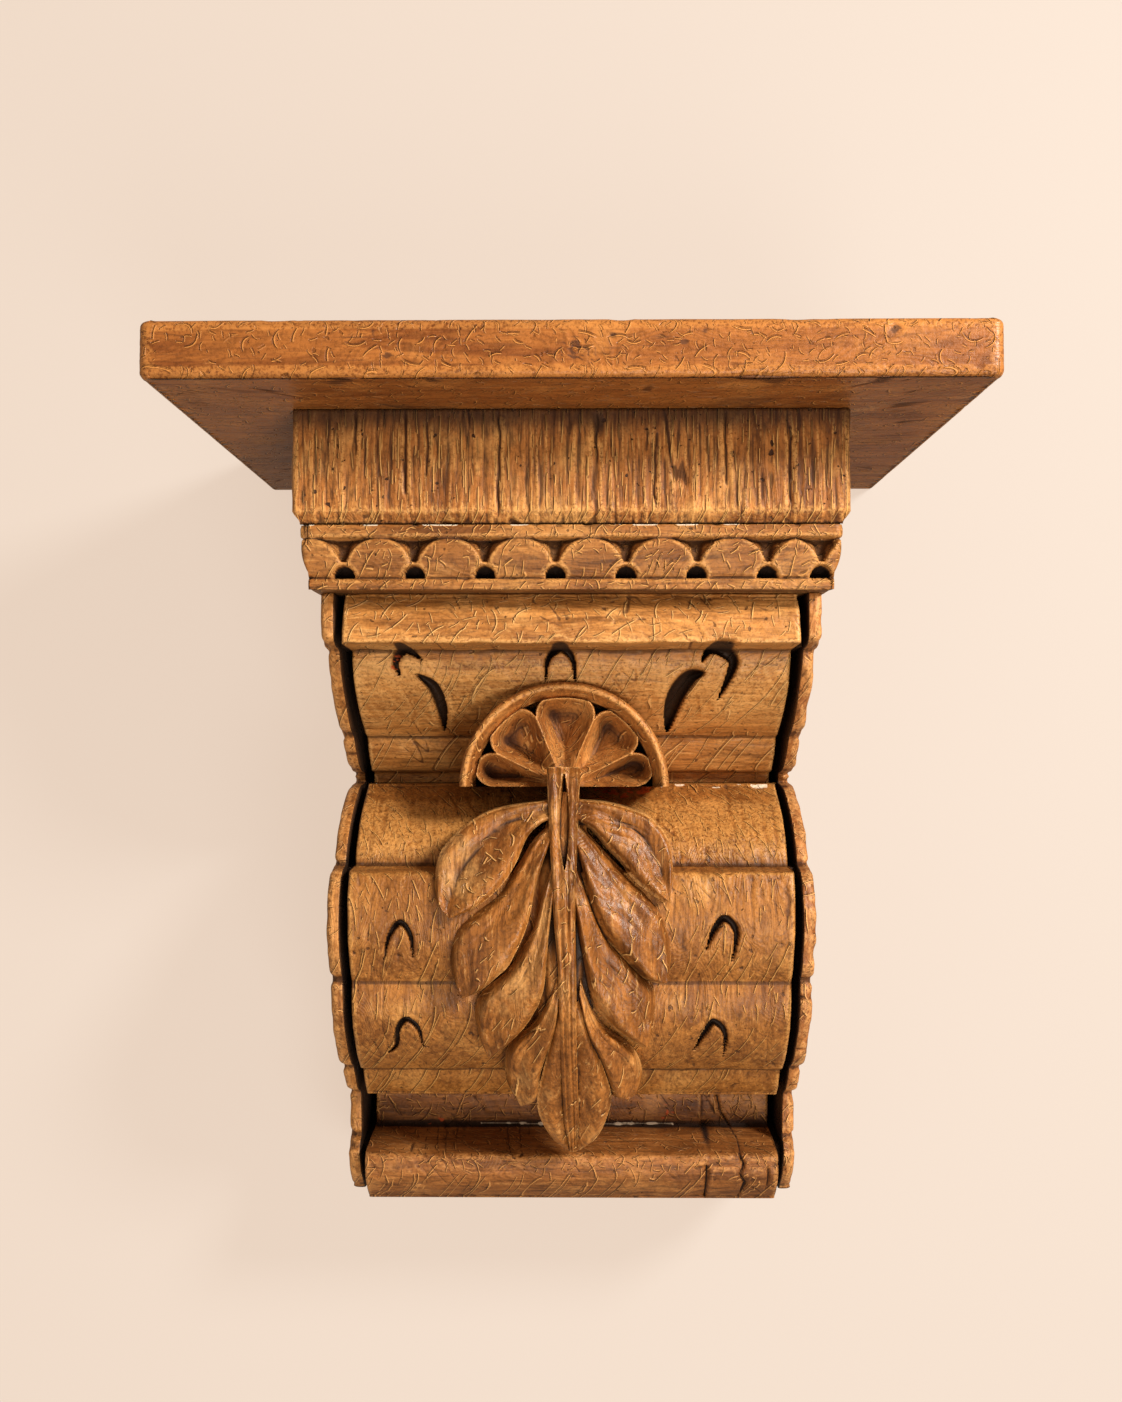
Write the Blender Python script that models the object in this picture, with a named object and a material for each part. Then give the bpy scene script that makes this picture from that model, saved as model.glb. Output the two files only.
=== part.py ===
"""A carved wooden shelf bracket of the corbel kind, hung with its flat back on a wall.

Frame: +Z up, +X to the right of someone facing the bracket, the front towards -Y.
The origin is on the flat back, on the centre line, halfway up. Metres.

From the top down it is a plain shelf board, a plain cap block, a course carved with eggs and
drilled holes, and a scroll in three blocks: the upper scroll with a half rosette, the belly and
the foot. A carved leaf hangs on the belly. A sawn cheek board closes each side of the scroll.
"""

import math
from collections import namedtuple

import bmesh
import bpy

# Clearance left at every joint between two pieces
JOINT_GAP = 0.0003

# Shelf board
SHELF_WIDTH = 0.366
SHELF_DEPTH = 0.252
SHELF_THICKNESS = 0.0250
SHELF_CORNER_RADIUS = 0.007
SHELF_EDGE_ROUND = 0.003

# Cap block
CAP_WIDTH = 0.259
CAP_DEPTH = 0.1985
CAP_HEIGHT = 0.0525
CAP_CORNER_RADIUS = 0.004
CAP_CHAMFER = 0.0045

# Egg course: a top fillet, an ovolo field carved with eggs, and a foot fillet
EGG_COURSE_HEIGHT = 0.0295
EGG_TOP_FILLET = 0.0060
EGG_FOOT_FILLET = 0.0050
EGG_SETBACK = 0.0035
EGG_TAPER = 0.0045
EGG_BULGE = 0.0020
EGG_FILLET_LIP = 0.0012
EGG_PITCH = 0.0328
EGG_FIRST_HOLE = 0.0205
EGG_HOLE_WIDTH = 0.0096
EGG_HOLE_HEIGHT = 0.0062
EGG_HOLE_DEPTH = 0.0080
EGG_ARCH_RISE = 0.0095
EGG_POCKET_WIDTH = 0.0280
EGG_POCKET_DEPTH = 0.0105

# Scroll: the face between the two grooves, the grooves and the cheek boards
FACE_WIDTH = 0.216
FACE_EDGE_ROUND = 0.0012
GROOVE_WIDTH = 0.0042
GROOVE_DEPTH = 0.022
CHEEK_THICKNESS = 0.0070
CHEEK_EDGE_ROUND = 0.0018
CHEEK_LINE_INSET = 0.0110
CHEEK_LINE_WIDTH = 0.0036
CHEEK_LINE_DEPTH = 0.0014
STEP_DROP = 0.0012

# A band of the scroll's face: its height, how far its top and bottom edges stand out from the
# wall, the bulge of its face, how far the cheek's edge stands back from those two edges
# (negative where the cheek stands proud) and the bulge of the cheek's edge.
Band = namedtuple("Band", "height top bottom bulge cheek_top cheek_bottom cheek_bulge")
UPPER_BANDS = (
    Band(0.0245, 0.1730, 0.1830, 0.0030, -0.0040, 0.0060, 0.0010),
    Band(0.0420, 0.1530, 0.1080, 0.0110, -0.0080, -0.0150, 0.0050),
    Band(0.0195, 0.1020, 0.0860, 0.0020, -0.0140, -0.0080, 0.0020),
    Band(0.0065, 0.0770, 0.0760, 0.0, -0.0020, -0.0020, 0.0),
)
BELLY_BANDS = (
    Band(0.0392, 0.0960, 0.1390, 0.0100, 0.0, 0.0, 0.0090),
    Band(0.0553, 0.1585, 0.1500, 0.0085, 0.0080, 0.0020, 0.0100),
    Band(0.0505, 0.1490, 0.1190, 0.0100, 0.0020, 0.0030, 0.0085),
    Band(0.0180, 0.1120, 0.0970, 0.0020, 0.0010, 0.0010, 0.0010),
)
FOOT_BANDS = (
    Band(0.0252, 0.0660, 0.0640, 0.0, -0.0210, -0.0210, 0.0),
    Band(0.0040, 0.0800, 0.1010, 0.0015, -0.0080, 0.0090, 0.0),
    Band(0.0275, 0.1030, 0.0880, 0.0060, 0.0110, 0.0160, 0.0040),
)
ARC_STEPS = 4

# Half rosette, carved in the solid of the upper scroll. Its petals are set by the angles of
# the edges between them, in degrees from its right-hand end.
ROSETTE_RADIUS = 0.0516
ROSETTE_FACE = 0.151
ROSETTE_ROOT = 0.060
ROSETTE_X = -0.0035
ROSETTE_RIM = 0.0075
ROSETTE_RIM_ROUND = 0.0020
ROSETTE_POCKET = 0.0110
PETAL_EDGES = (0, 26, 66, 112, 154, 180)
PETAL_HOLLOW = 0.0095
PETAL_STEPS = 4

# Cuts made with a gouge, deep at their arched top and run out at the foot: place across,
# height of the arch above the origin, width, length, depth and lean from upright in degrees.
Cut = namedtuple("Cut", "across arch width length depth lean")
UPPER_CUTS = (
    Cut(-0.0045, 0.0755, 0.0150, 0.0160, 0.0085, 0),
    Cut(-0.0800, 0.0755, 0.0130, 0.0150, 0.0075, 30),
    Cut(0.0735, 0.0755, 0.0150, 0.0200, 0.0085, -12),
    Cut(-0.0715, 0.0655, 0.0072, 0.0280, 0.0100, 26),
    Cut(0.0625, 0.0665, 0.0085, 0.0280, 0.0110, -32),
)
BELLY_CUTS = (
    Cut(-0.0830, -0.0555, 0.0135, 0.0170, 0.0085, 0),
    Cut(0.0735, -0.0545, 0.0130, 0.0180, 0.0085, 0),
    Cut(-0.0800, -0.1040, 0.0135, 0.0160, 0.0080, 0),
    Cut(0.0692, -0.1050, 0.0140, 0.0170, 0.0080, 0),
)
CUT_STEPS = 7
CUT_CLEARANCE = 0.004

# Leaf: its length, how far it laps over the rosette, the stem, and how far its middle stands
# out from the wall and how thick it is, at shares of its length.
LEAF_LENGTH = 0.1965
LEAF_X = -0.0020
LEAF_LAP = 0.0100
LEAF_DROOP = 0.0060
LEAF_PATH = (
    (0.00, 0.1600, 0.0120),
    (0.06, 0.1620, 0.0560),
    (0.20, 0.1680, 0.0560),
    (0.38, 0.1770, 0.0300),
    (0.55, 0.1710, 0.0300),
    (0.72, 0.1560, 0.0300),
    (0.86, 0.1390, 0.0160),
    (1.00, 0.1220, 0.0070),
)
STEM_WIDTH = 0.0160
STEM_END_WIDTH = 0.0022
STEM_RISE = 0.0022
STEM_STEPS = 12
STEM_SLOT_WIDTH = 0.0050
STEM_SLOT_TOP = 0.035
STEM_SLOT_LENGTH = 0.20
STEM_SLOT_DEPTH = 0.0060
TERMINAL_ROOT = 0.42
TERMINAL_HALF_WIDTH = 0.0925
WEB_ROOT = 0.10
WEB_END = 0.90
WEB_HALF_WIDTH = 0.120
WEB_DROP = 0.0070

# Lobes, as shares of the leaf's length: their side, the level where they leave the stem, the
# level of their tip, how far out it lies and half their width.
Lobe = namedtuple("Lobe", "side root tip out half_width")
LOBES = (
    Lobe(-1, 0.090, 0.382, 0.305, 0.0860),
    Lobe(1, 0.085, 0.350, 0.248, 0.0800),
    Lobe(-1, 0.230, 0.582, 0.268, 0.0800),
    Lobe(1, 0.220, 0.548, 0.246, 0.0760),
    Lobe(-1, 0.400, 0.728, 0.190, 0.0740),
    Lobe(1, 0.390, 0.706, 0.206, 0.0720),
    Lobe(-1, 0.590, 0.862, 0.118, 0.0600),
    Lobe(1, 0.580, 0.850, 0.146, 0.0620),
)
LOBE_STEPS = 8
LOBE_BEND_OUT = 0.76
LOBE_BEND_DOWN = 0.34
LOBE_ROOT_WIDTH = 0.75
LOBE_TIP_WIDTH = 0.24
LOBE_UNDERCUT = 0.80
# Across a lobe from its upper edge to its lower one: place, and drop below the middle's level
LOBE_SECTION = ((-1.0, 0.0068), (-0.45, 0.0040), (0.15, 0.0042), (0.72, 0.0008), (1.0, 0.0036))
TERMINAL_SECTION = ((-1.0, 0.0040), (-0.5, 0.0022), (0.0, 0.0030), (0.5, 0.0022), (1.0, 0.0040))


def stack_height(bands):
    return sum(band.height for band in bands)


# Levels, worked out from the stack of pieces
TOTAL_HEIGHT = (
    SHELF_THICKNESS
    + CAP_HEIGHT
    + EGG_COURSE_HEIGHT
    + stack_height(UPPER_BANDS)
    + stack_height(BELLY_BANDS)
    + stack_height(FOOT_BANDS)
    + 5 * JOINT_GAP
)
SHELF_TOP = TOTAL_HEIGHT / 2
SHELF_BOTTOM = SHELF_TOP - SHELF_THICKNESS
CAP_TOP = SHELF_BOTTOM - JOINT_GAP
CAP_BOTTOM = CAP_TOP - CAP_HEIGHT
EGG_TOP = CAP_BOTTOM - JOINT_GAP
EGG_BOTTOM = EGG_TOP - EGG_COURSE_HEIGHT
UPPER_TOP = EGG_BOTTOM - JOINT_GAP
UPPER_BOTTOM = UPPER_TOP - stack_height(UPPER_BANDS)
BELLY_TOP = UPPER_BOTTOM - JOINT_GAP
BELLY_BOTTOM = BELLY_TOP - stack_height(BELLY_BANDS)
FOOT_TOP = BELLY_BOTTOM - JOINT_GAP
FOOT_BOTTOM = FOOT_TOP - stack_height(FOOT_BANDS)


def clear_scene():
    for thing in list(bpy.data.objects):
        bpy.data.objects.remove(thing, do_unlink=True)


def wood(name, colour, roughness):
    """A plain wood finish: linear colour and roughness."""
    material = bpy.data.materials.new(name)
    material.use_nodes = True
    shader = material.node_tree.nodes["Principled BSDF"]
    shader.inputs["Base Color"].default_value = (*colour, 1.0)
    shader.inputs["Roughness"].default_value = roughness
    shader.inputs["Metallic"].default_value = 0.0
    return material


def add_object(name, mesh_data, material=None):
    """Close a bmesh into an object whose faces point out, with soft arcs and crisp arrises."""
    bmesh.ops.recalc_face_normals(mesh_data, faces=mesh_data.faces)
    mesh = bpy.data.meshes.new(name)
    mesh_data.to_mesh(mesh)
    mesh_data.free()
    mesh.shade_smooth()
    mesh.set_sharp_from_angle(angle=math.radians(35))
    if material:
        mesh.materials.append(material)
    thing = bpy.data.objects.new(name, mesh)
    bpy.context.scene.collection.objects.link(thing)
    return thing


def loft(rings):
    """A closed body through rings of points, its first and last ring filled."""
    body = bmesh.new()
    laid = [[body.verts.new(point) for point in ring] for ring in rings]
    for ring, following in zip(laid, laid[1:]):
        for place in range(len(ring)):
            after = (place + 1) % len(ring)
            body.faces.new((ring[place], ring[after], following[after], following[place]))
    body.faces.new(laid[0])
    body.faces.new(laid[-1])
    return body


def combine(thing, tool, operation, folded=False):
    """Join a tool to an object or cut the object with it; the tool stays as a guide.

    Folded shapes, whose own surface may cross itself, need the slower test.
    """
    tool.hide_render = True
    tool.display_type = "WIRE"
    modifier = thing.modifiers.new(tool.name, "BOOLEAN")
    modifier.operation = operation
    modifier.solver = "EXACT"
    modifier.use_self = folded
    modifier.object = tool


def face_rows(bands, top, cheek=False, below_another=False):
    """Rows of height and stand-out down the face of a stack of bands, or the cheek's edge."""
    rows = []
    level = top
    for band in bands:
        start, end, bulge = band.top, band.bottom, band.bulge
        if cheek:
            start, end, bulge = start - band.cheek_top, end - band.cheek_bottom, band.cheek_bulge
        first = level - STEP_DROP if rows or below_another else level
        level -= band.height
        steps = ARC_STEPS if bulge else 1
        for step in range(steps + 1):
            along = step / steps
            out = start + (end - start) * along + 4 * bulge * along * (1 - along)
            rows.append((first + (level - first) * along, out))
    return rows


def stand_out(rows, height):
    """How far the face with these rows stands out from the wall at a height."""
    for (upper, upper_out), (lower, lower_out) in zip(rows, rows[1:]):
        if lower <= height <= upper:
            return upper_out + (lower_out - upper_out) * (upper - height) / (upper - lower)
    return rows[0][1] if height > rows[0][0] else rows[-1][1]


UPPER_ROWS = face_rows(UPPER_BANDS, UPPER_TOP)
BELLY_ROWS = face_rows(BELLY_BANDS, BELLY_TOP)
FOOT_ROWS = face_rows(FOOT_BANDS, FOOT_TOP)


def build_shelf_board(material):
    """A board with rounded corners and softly rounded edges, its back edge square."""

    def outline(inset):
        half = SHELF_WIDTH / 2
        radius = SHELF_CORNER_RADIUS
        points = [(half - inset, 0.0), (-half + inset, 0.0)]
        for side, start in ((-1, 180), (1, 270)):
            for step in range(5):
                turn = math.radians(start + 90 * step / 4)
                points.append((
                    side * (half - radius) + (radius - inset) * math.cos(turn),
                    -SHELF_DEPTH + radius + (radius - inset) * math.sin(turn),
                ))
        return points

    rings = []
    soft = SHELF_EDGE_ROUND
    for inset, level in (
        (soft, SHELF_TOP),
        (0.3 * soft, SHELF_TOP - 0.3 * soft),
        (0.0, SHELF_TOP - soft),
        (0.0, SHELF_BOTTOM + soft),
        (0.3 * soft, SHELF_BOTTOM + 0.3 * soft),
        (soft, SHELF_BOTTOM),
    ):
        rings.append([(across, out, level) for across, out in outline(inset)])
    return add_object("shelf_board", loft(rings), material)


def box_outline(half_width, depth, corner):
    """Plan of a block against the wall, its two front corners cut by a short arc."""
    points = [(half_width, 0.0), (-half_width, 0.0)]
    for side, start in ((-1, 180), (1, 270)):
        for step in range(3):
            turn = math.radians(start + 90 * step / 2)
            points.append((
                side * (half_width - corner) + corner * math.cos(turn),
                -depth + corner + corner * math.sin(turn),
            ))
    return points


def build_cap_block(material):
    """A plain block whose lower arris is worn to a chamfer."""
    rings = []
    for inset, level in (
        (0.0, CAP_TOP),
        (0.0, CAP_BOTTOM + CAP_CHAMFER),
        (0.35 * CAP_CHAMFER, CAP_BOTTOM + 0.35 * CAP_CHAMFER),
        (CAP_CHAMFER, CAP_BOTTOM),
    ):
        plan = box_outline(CAP_WIDTH / 2 - inset, CAP_DEPTH - inset, CAP_CORNER_RADIUS)
        rings.append([(across, out, level) for across, out in plan])
    return add_object("cap_block", loft(rings), material)


def egg_sections():
    """Rows of height and setback down the egg course."""
    field_top = EGG_TOP - EGG_TOP_FILLET
    field_foot = EGG_BOTTOM + EGG_FOOT_FILLET
    rows = [(EGG_TOP, 0.0), (field_top + EGG_FILLET_LIP / 2, 0.0)]
    for step in range(5):
        along = step / 4
        setback = EGG_FILLET_LIP + EGG_TAPER * along - 4 * EGG_BULGE * along * (1 - along)
        rows.append((field_top + (field_foot - field_top) * along, setback))
    rows.append((field_foot - EGG_FILLET_LIP / 2, EGG_TAPER))
    rows.append((EGG_BOTTOM, EGG_TAPER))
    return rows


def egg_places():
    """Where the holes go: a side, a place along it and the way its face looks."""
    half = CAP_WIDTH / 2 - EGG_SETBACK
    depth = CAP_DEPTH - EGG_SETBACK
    places = []
    across = -half + EGG_FIRST_HOLE
    while across < half - EGG_HOLE_WIDTH / 2:
        places.append((across, -depth, 0.0))
        across += EGG_PITCH
    out = depth - EGG_FIRST_HOLE
    while out > EGG_HOLE_WIDTH:
        places.append((-half, -out, -90.0))
        places.append((half, -out, 90.0))
        out -= EGG_PITCH
    return places


def egg_tool(name, ring_of, place):
    """A cutter made facing the front and turned to its side of the course."""
    across, out, turn = place
    tool = add_object(name, ring_of)
    tool.location = (across, out, 0.0)
    tool.rotation_euler = (0.0, 0.0, math.radians(turn))
    return tool


def hole_body():
    """A hole drilled level and cut flat at its foot."""
    foot = EGG_BOTTOM + EGG_FOOT_FILLET + EGG_FILLET_LIP / 2
    arch = [(-EGG_HOLE_WIDTH / 2, foot)]
    for step in range(7):
        turn = math.radians(180 - 30 * step)
        arch.append((
            EGG_HOLE_WIDTH / 2 * math.cos(turn),
            foot + EGG_HOLE_HEIGHT * (0.25 + 0.75 * math.sin(turn)),
        ))
    arch.append((EGG_HOLE_WIDTH / 2, foot))
    ends = (-CUT_CLEARANCE, EGG_TAPER + EGG_HOLE_DEPTH)
    return loft([[(across, out, level) for across, level in arch] for out in ends])


def pocket_body():
    """The three-cornered pocket between two eggs, below the top fillet."""
    crown = EGG_TOP - EGG_TOP_FILLET - EGG_FILLET_LIP / 2
    half = EGG_POCKET_WIDTH / 2
    edge = []
    for step in range(-3, 4):
        share = abs(step) / 3
        edge.append((half * step / 3, crown - EGG_ARCH_RISE * (1 - share) ** 1.6))
    body = bmesh.new()
    outer = [body.verts.new((across, -CUT_CLEARANCE, level)) for across, level in edge]
    inner = [body.verts.new((across, 0.0, level)) for across, level in edge]
    deep = body.verts.new((0.0, EGG_POCKET_DEPTH, crown - 0.15 * EGG_ARCH_RISE))
    count = len(edge)
    for place in range(count):
        after = (place + 1) % count
        body.faces.new((outer[place], outer[after], inner[after], inner[place]))
        body.faces.new((inner[place], inner[after], deep))
    body.faces.new(outer)
    return body


def build_egg_course(material):
    """The course that runs round three sides, with its pockets and its drilled holes."""
    rings = []
    for level, setback in egg_sections():
        plan = box_outline(
            CAP_WIDTH / 2 - EGG_SETBACK - setback, CAP_DEPTH - EGG_SETBACK - setback,
            CAP_CORNER_RADIUS,
        )
        rings.append([(across, out, level) for across, out in plan])
    course = add_object("egg_course", loft(rings), material)
    for index, place in enumerate(egg_places()):
        combine(course, egg_tool(f"pocket_cutter_{index}", pocket_body(), place), "DIFFERENCE")
        combine(course, egg_tool(f"hole_cutter_{index}", hole_body(), place), "DIFFERENCE")
    return course


def scroll_block(name, rows, material):
    """A block of the scroll: the face between the grooves, and the core behind them."""
    face = FACE_WIDTH / 2
    core = face + GROOVE_WIDTH - JOINT_GAP
    soft = FACE_EDGE_ROUND
    rings = []
    for level, out in rows:
        back = out - GROOVE_DEPTH
        half = [(core, 0.0), (core, back), (face, back), (face, out - soft), (face - soft, out)]
        ring = [(-across, -reach, level) for across, reach in half]
        ring += [(across, -reach, level) for across, reach in reversed(half)]
        rings.append(ring)
    return add_object(name, loft(rings), material)


def gouge_cutter(name, cut, rows):
    """A tongue-shaped cutter whose floor rises from its arched top to the face at its foot."""
    rings = []
    lean = math.radians(cut.lean)
    for step in range(CUT_STEPS + 1):
        along = (step / CUT_STEPS) ** 1.5
        down = along * cut.length
        arch = min(down / (cut.width / 2), 1.0)
        half = cut.width / 2 * math.sqrt(max(1 - (1 - arch) ** 2, 0.02))
        depth = cut.depth * (1 - along) ** 0.8 - CUT_CLEARANCE * 0.2 * along

        def place(side, sink):
            across = cut.across + side * half * math.cos(lean) + down * math.sin(lean)
            level = cut.arch + side * half * math.sin(lean) - down * math.cos(lean)
            return (across, -(stand_out(rows, level) - sink), level)

        front = -CUT_CLEARANCE
        rings.append([place(-1, front), place(-1, 0.8 * depth), place(0, depth),
                      place(1, 0.8 * depth), place(1, front), place(0, front)])
    return add_object(name, loft(rings))


def rosette_body():
    """A half disc: a round rim, and hollow petals with deep pockets between their ends."""
    centre_z = UPPER_BOTTOM
    inner = ROSETTE_RADIUS - ROSETTE_RIM
    rings = (
        (0.18 * inner, 0.5, 0.6 * ROSETTE_RIM_ROUND),
        (0.40 * inner, 0.9, 0.3 * ROSETTE_RIM_ROUND),
        (0.62 * inner, 1.0, 0.2 * ROSETTE_RIM_ROUND),
        (0.78 * inner, 0.9, 0.6 * ROSETTE_POCKET),
        (0.92 * inner, 0.4, ROSETTE_POCKET),
        (inner, 0.0, ROSETTE_RIM_ROUND),
        (inner + ROSETTE_RIM_ROUND, 0.0, 0.0),
        (ROSETTE_RADIUS - ROSETTE_RIM_ROUND, 0.0, 0.0),
        (ROSETTE_RADIUS, 0.0, ROSETTE_RIM_ROUND),
    )
    spokes = []
    for start, end in zip(PETAL_EDGES, PETAL_EDGES[1:]):
        for step in range(PETAL_STEPS):
            share = step / PETAL_STEPS
            spokes.append((start + (end - start) * share, 4 * share * (1 - share)))
    spokes.append((PETAL_EDGES[-1], 0.0))
    body = bmesh.new()

    def vertex(reach, degrees, out):
        turn = math.radians(degrees)
        return body.verts.new((
            ROSETTE_X + reach * math.cos(turn), -out, centre_z + reach * math.sin(turn),
        ))

    centre = vertex(0.0, 0.0, ROSETTE_FACE - 0.7 * PETAL_HOLLOW)
    front = []
    back = []
    for degrees, middle in spokes:
        spoke = []
        for reach, hollow, edge_drop in rings:
            carved = reach < inner
            drop = hollow * PETAL_HOLLOW * middle + edge_drop * (1 - middle if carved else 1)
            spoke.append(vertex(reach, degrees, ROSETTE_FACE - drop))
        front.append(spoke)
        back.append(vertex(ROSETTE_RADIUS, degrees, ROSETTE_ROOT))
    for place in range(len(spokes) - 1):
        here, there = front[place], front[place + 1]
        body.faces.new((centre, here[0], there[0]))
        for ring in range(len(rings) - 1):
            body.faces.new((here[ring], here[ring + 1], there[ring + 1], there[ring]))
        body.faces.new((here[-1], back[place], back[place + 1], there[-1]))
    body.faces.new(back)
    body.faces.new([*reversed(front[0]), centre, *front[-1], back[-1], back[0]])
    return body


def build_upper_scroll(material):
    """Roll, cove, fillet and neck, with the half rosette in front of the cove."""
    block = scroll_block("upper_scroll", UPPER_ROWS, material)
    for index, cut in enumerate(UPPER_CUTS):
        combine(block, gouge_cutter(f"upper_gouge_{index}", cut, UPPER_ROWS), "DIFFERENCE")
    combine(block, add_object("rosette_guide", rosette_body()), "UNION")
    return block


def build_belly(material):
    """Four bands, two of them with thumbnail cuts."""
    block = scroll_block("belly", BELLY_ROWS, material)
    for index, cut in enumerate(BELLY_CUTS):
        combine(block, gouge_cutter(f"belly_gouge_{index}", cut, BELLY_ROWS), "DIFFERENCE")
    return block


def build_foot(material):
    """A recess and a bottom roll."""
    return scroll_block("foot", FOOT_ROWS, material)


def build_cheek(name, side, material):
    """A sawn board with a lobed edge and a gouged line that follows it."""
    rows = face_rows(UPPER_BANDS, UPPER_TOP, cheek=True)
    rows += face_rows(BELLY_BANDS, BELLY_TOP, cheek=True, below_another=True)
    rows += face_rows(FOOT_BANDS, FOOT_TOP, cheek=True, below_another=True)
    inner = FACE_WIDTH / 2 + GROOVE_WIDTH
    outer = inner + CHEEK_THICKNESS
    soft = CHEEK_EDGE_ROUND
    line = CHEEK_LINE_INSET
    rings = []
    for level, out in rows:
        section = (
            (inner, 0.0),
            (inner, out - soft),
            (inner + soft, out),
            (outer - soft, out),
            (outer, out - soft),
            (outer, out - line),
            (outer - CHEEK_LINE_DEPTH, out - line - CHEEK_LINE_WIDTH / 2),
            (outer, out - line - CHEEK_LINE_WIDTH),
            (outer, 0.0),
        )
        rings.append([(side * across, -reach, level) for across, reach in section])
    return add_object(name, loft(rings), material)


def leaf_level(share):
    return BELLY_TOP + LEAF_LAP - LEAF_LENGTH * share


def leaf_path(share):
    """How far the leaf's middle stands out, and its thickness, at a share of its length."""
    share = min(max(share, 0.0), 1.0)
    for start, end in zip(LEAF_PATH, LEAF_PATH[1:]):
        if share <= end[0]:
            along = (share - start[0]) / (end[0] - start[0])
            return [start[i] + (end[i] - start[i]) * along for i in (1, 2)]
    return LEAF_PATH[-1][1:]


def leaf_ring(points, spread):
    """A ring from points across the leaf (across, share of length, drop), front then back."""
    widest = max(lobe.out for lobe in LOBES)
    front = []
    back = []
    middle_across = sum(point[0] for point in points) / len(points)
    middle_share = sum(point[1] for point in points) / len(points)
    for across, share, drop in points:
        out, thickness = leaf_path(share)
        out -= LEAF_DROOP * abs(across / widest) ** 1.5
        front.append((LEAF_X + across * LEAF_LENGTH, -(out - drop), leaf_level(share)))
    for across, share, drop in (points[-1], points[0]):
        across = middle_across + (across - middle_across) * spread
        share = middle_share + (share - middle_share) * spread
        out, thickness = leaf_path(share)
        out -= LEAF_DROOP * abs(across / widest) ** 1.5
        back.append((LEAF_X + across * LEAF_LENGTH, -(out - thickness), leaf_level(share)))
    return front + back


def lobe_body(lobe):
    """A leaflet that leaves the stem, curves outward and falls to a blunt tip."""
    rings = []
    bend = (
        lobe.side * lobe.out * LOBE_BEND_OUT,
        lobe.root + LOBE_BEND_DOWN * (lobe.tip - lobe.root),
    )
    for step in range(LOBE_STEPS + 1):
        along = step / LOBE_STEPS
        start, middle, end = (1 - along) ** 2, 2 * along * (1 - along), along ** 2
        across = middle * bend[0] + end * lobe.side * lobe.out
        share = start * lobe.root + middle * bend[1] + end * lobe.tip
        way_across = 2 * (1 - along) * bend[0] + 2 * along * (lobe.side * lobe.out - bend[0])
        way_down = 2 * (1 - along) * (bend[1] - lobe.root) + 2 * along * (lobe.tip - bend[1])
        size = math.hypot(way_across, way_down)
        belly = math.sin(math.pi * along ** 1.3) ** 0.55 if 0 < along < 1 else 0.0
        least = LOBE_ROOT_WIDTH * (1 - along) + LOBE_TIP_WIDTH * along
        half = lobe.half_width * max(belly, least)
        points = []
        for place, drop in LOBE_SECTION:
            fade = 0.45 + 0.55 * math.sin(math.pi * min(along + 0.15, 1.0))
            points.append((
                across - lobe.side * way_down / size * half * place,
                share + lobe.side * way_across / size * half * place,
                drop * fade,
            ))
        rings.append(leaf_ring(points, LOBE_UNDERCUT))
    return loft(rings)


def terminal_body():
    """The leaf's last lobe, which hangs straight down to the tip."""
    rings = []
    for step in range(LOBE_STEPS + 1):
        along = step / LOBE_STEPS
        share = TERMINAL_ROOT + (1 - TERMINAL_ROOT) * along
        swell = math.sin(math.pi * along ** 2.2) ** 0.7 if 0 < along < 1 else 0.0
        half = TERMINAL_HALF_WIDTH * max(swell, LOBE_TIP_WIDTH)
        points = [(half * place, share, drop) for place, drop in TERMINAL_SECTION]
        rings.append(leaf_ring(points, LOBE_UNDERCUT))
    return loft(rings)


def web_body():
    """The low ground from which the leaflets rise beside the stem."""
    rings = []
    for step in range(LOBE_STEPS + 1):
        along = step / LOBE_STEPS
        share = WEB_ROOT + (WEB_END - WEB_ROOT) * along
        half = WEB_HALF_WIDTH * max(math.sin(math.pi * along) ** 0.6 if along < 1 else 0.0, 0.2)
        points = [(half * place, share, WEB_DROP) for place in (-1.0, 0.0, 1.0)]
        rings.append(leaf_ring(points, LOBE_UNDERCUT))
    return loft(rings)


def stem_body():
    """The stem, which runs on as a slender midrib to the tip."""
    section = ((-1.0, 0.0), (-0.55, -1.0), (0.0, -0.6), (0.55, -1.0), (1.0, 0.0))
    rings = []
    for step in range(STEM_STEPS + 1):
        share = step / STEM_STEPS
        taper = (1 - share) ** 1.4
        half = (STEM_END_WIDTH + (STEM_WIDTH - STEM_END_WIDTH) * taper) / 2 / LEAF_LENGTH
        rise = STEM_RISE * (0.3 + 0.7 * taper)
        points = [(half * place, share * 0.99, drop * rise) for place, drop in section]
        rings.append(leaf_ring(points, 1.0))
    return loft(rings)


def slot_body():
    """A narrow V-shaped cut down the stem."""
    rings = []
    for step in range(STEM_STEPS + 1):
        along = step / STEM_STEPS
        share = STEM_SLOT_TOP + STEM_SLOT_LENGTH * along
        width = STEM_SLOT_WIDTH * max(math.sin(math.pi * (0.15 + 0.85 * along)), 0.1)
        out = leaf_path(share)[0] + STEM_RISE
        level = leaf_level(share)
        rings.append([
            (LEAF_X - width / 2, -out, level),
            (LEAF_X - width / 2, -out - CUT_CLEARANCE, level),
            (LEAF_X + width / 2, -out - CUT_CLEARANCE, level),
            (LEAF_X + width / 2, -out, level),
            (LEAF_X, -out + STEM_SLOT_DEPTH, level),
        ])
    return loft(rings)


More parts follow.
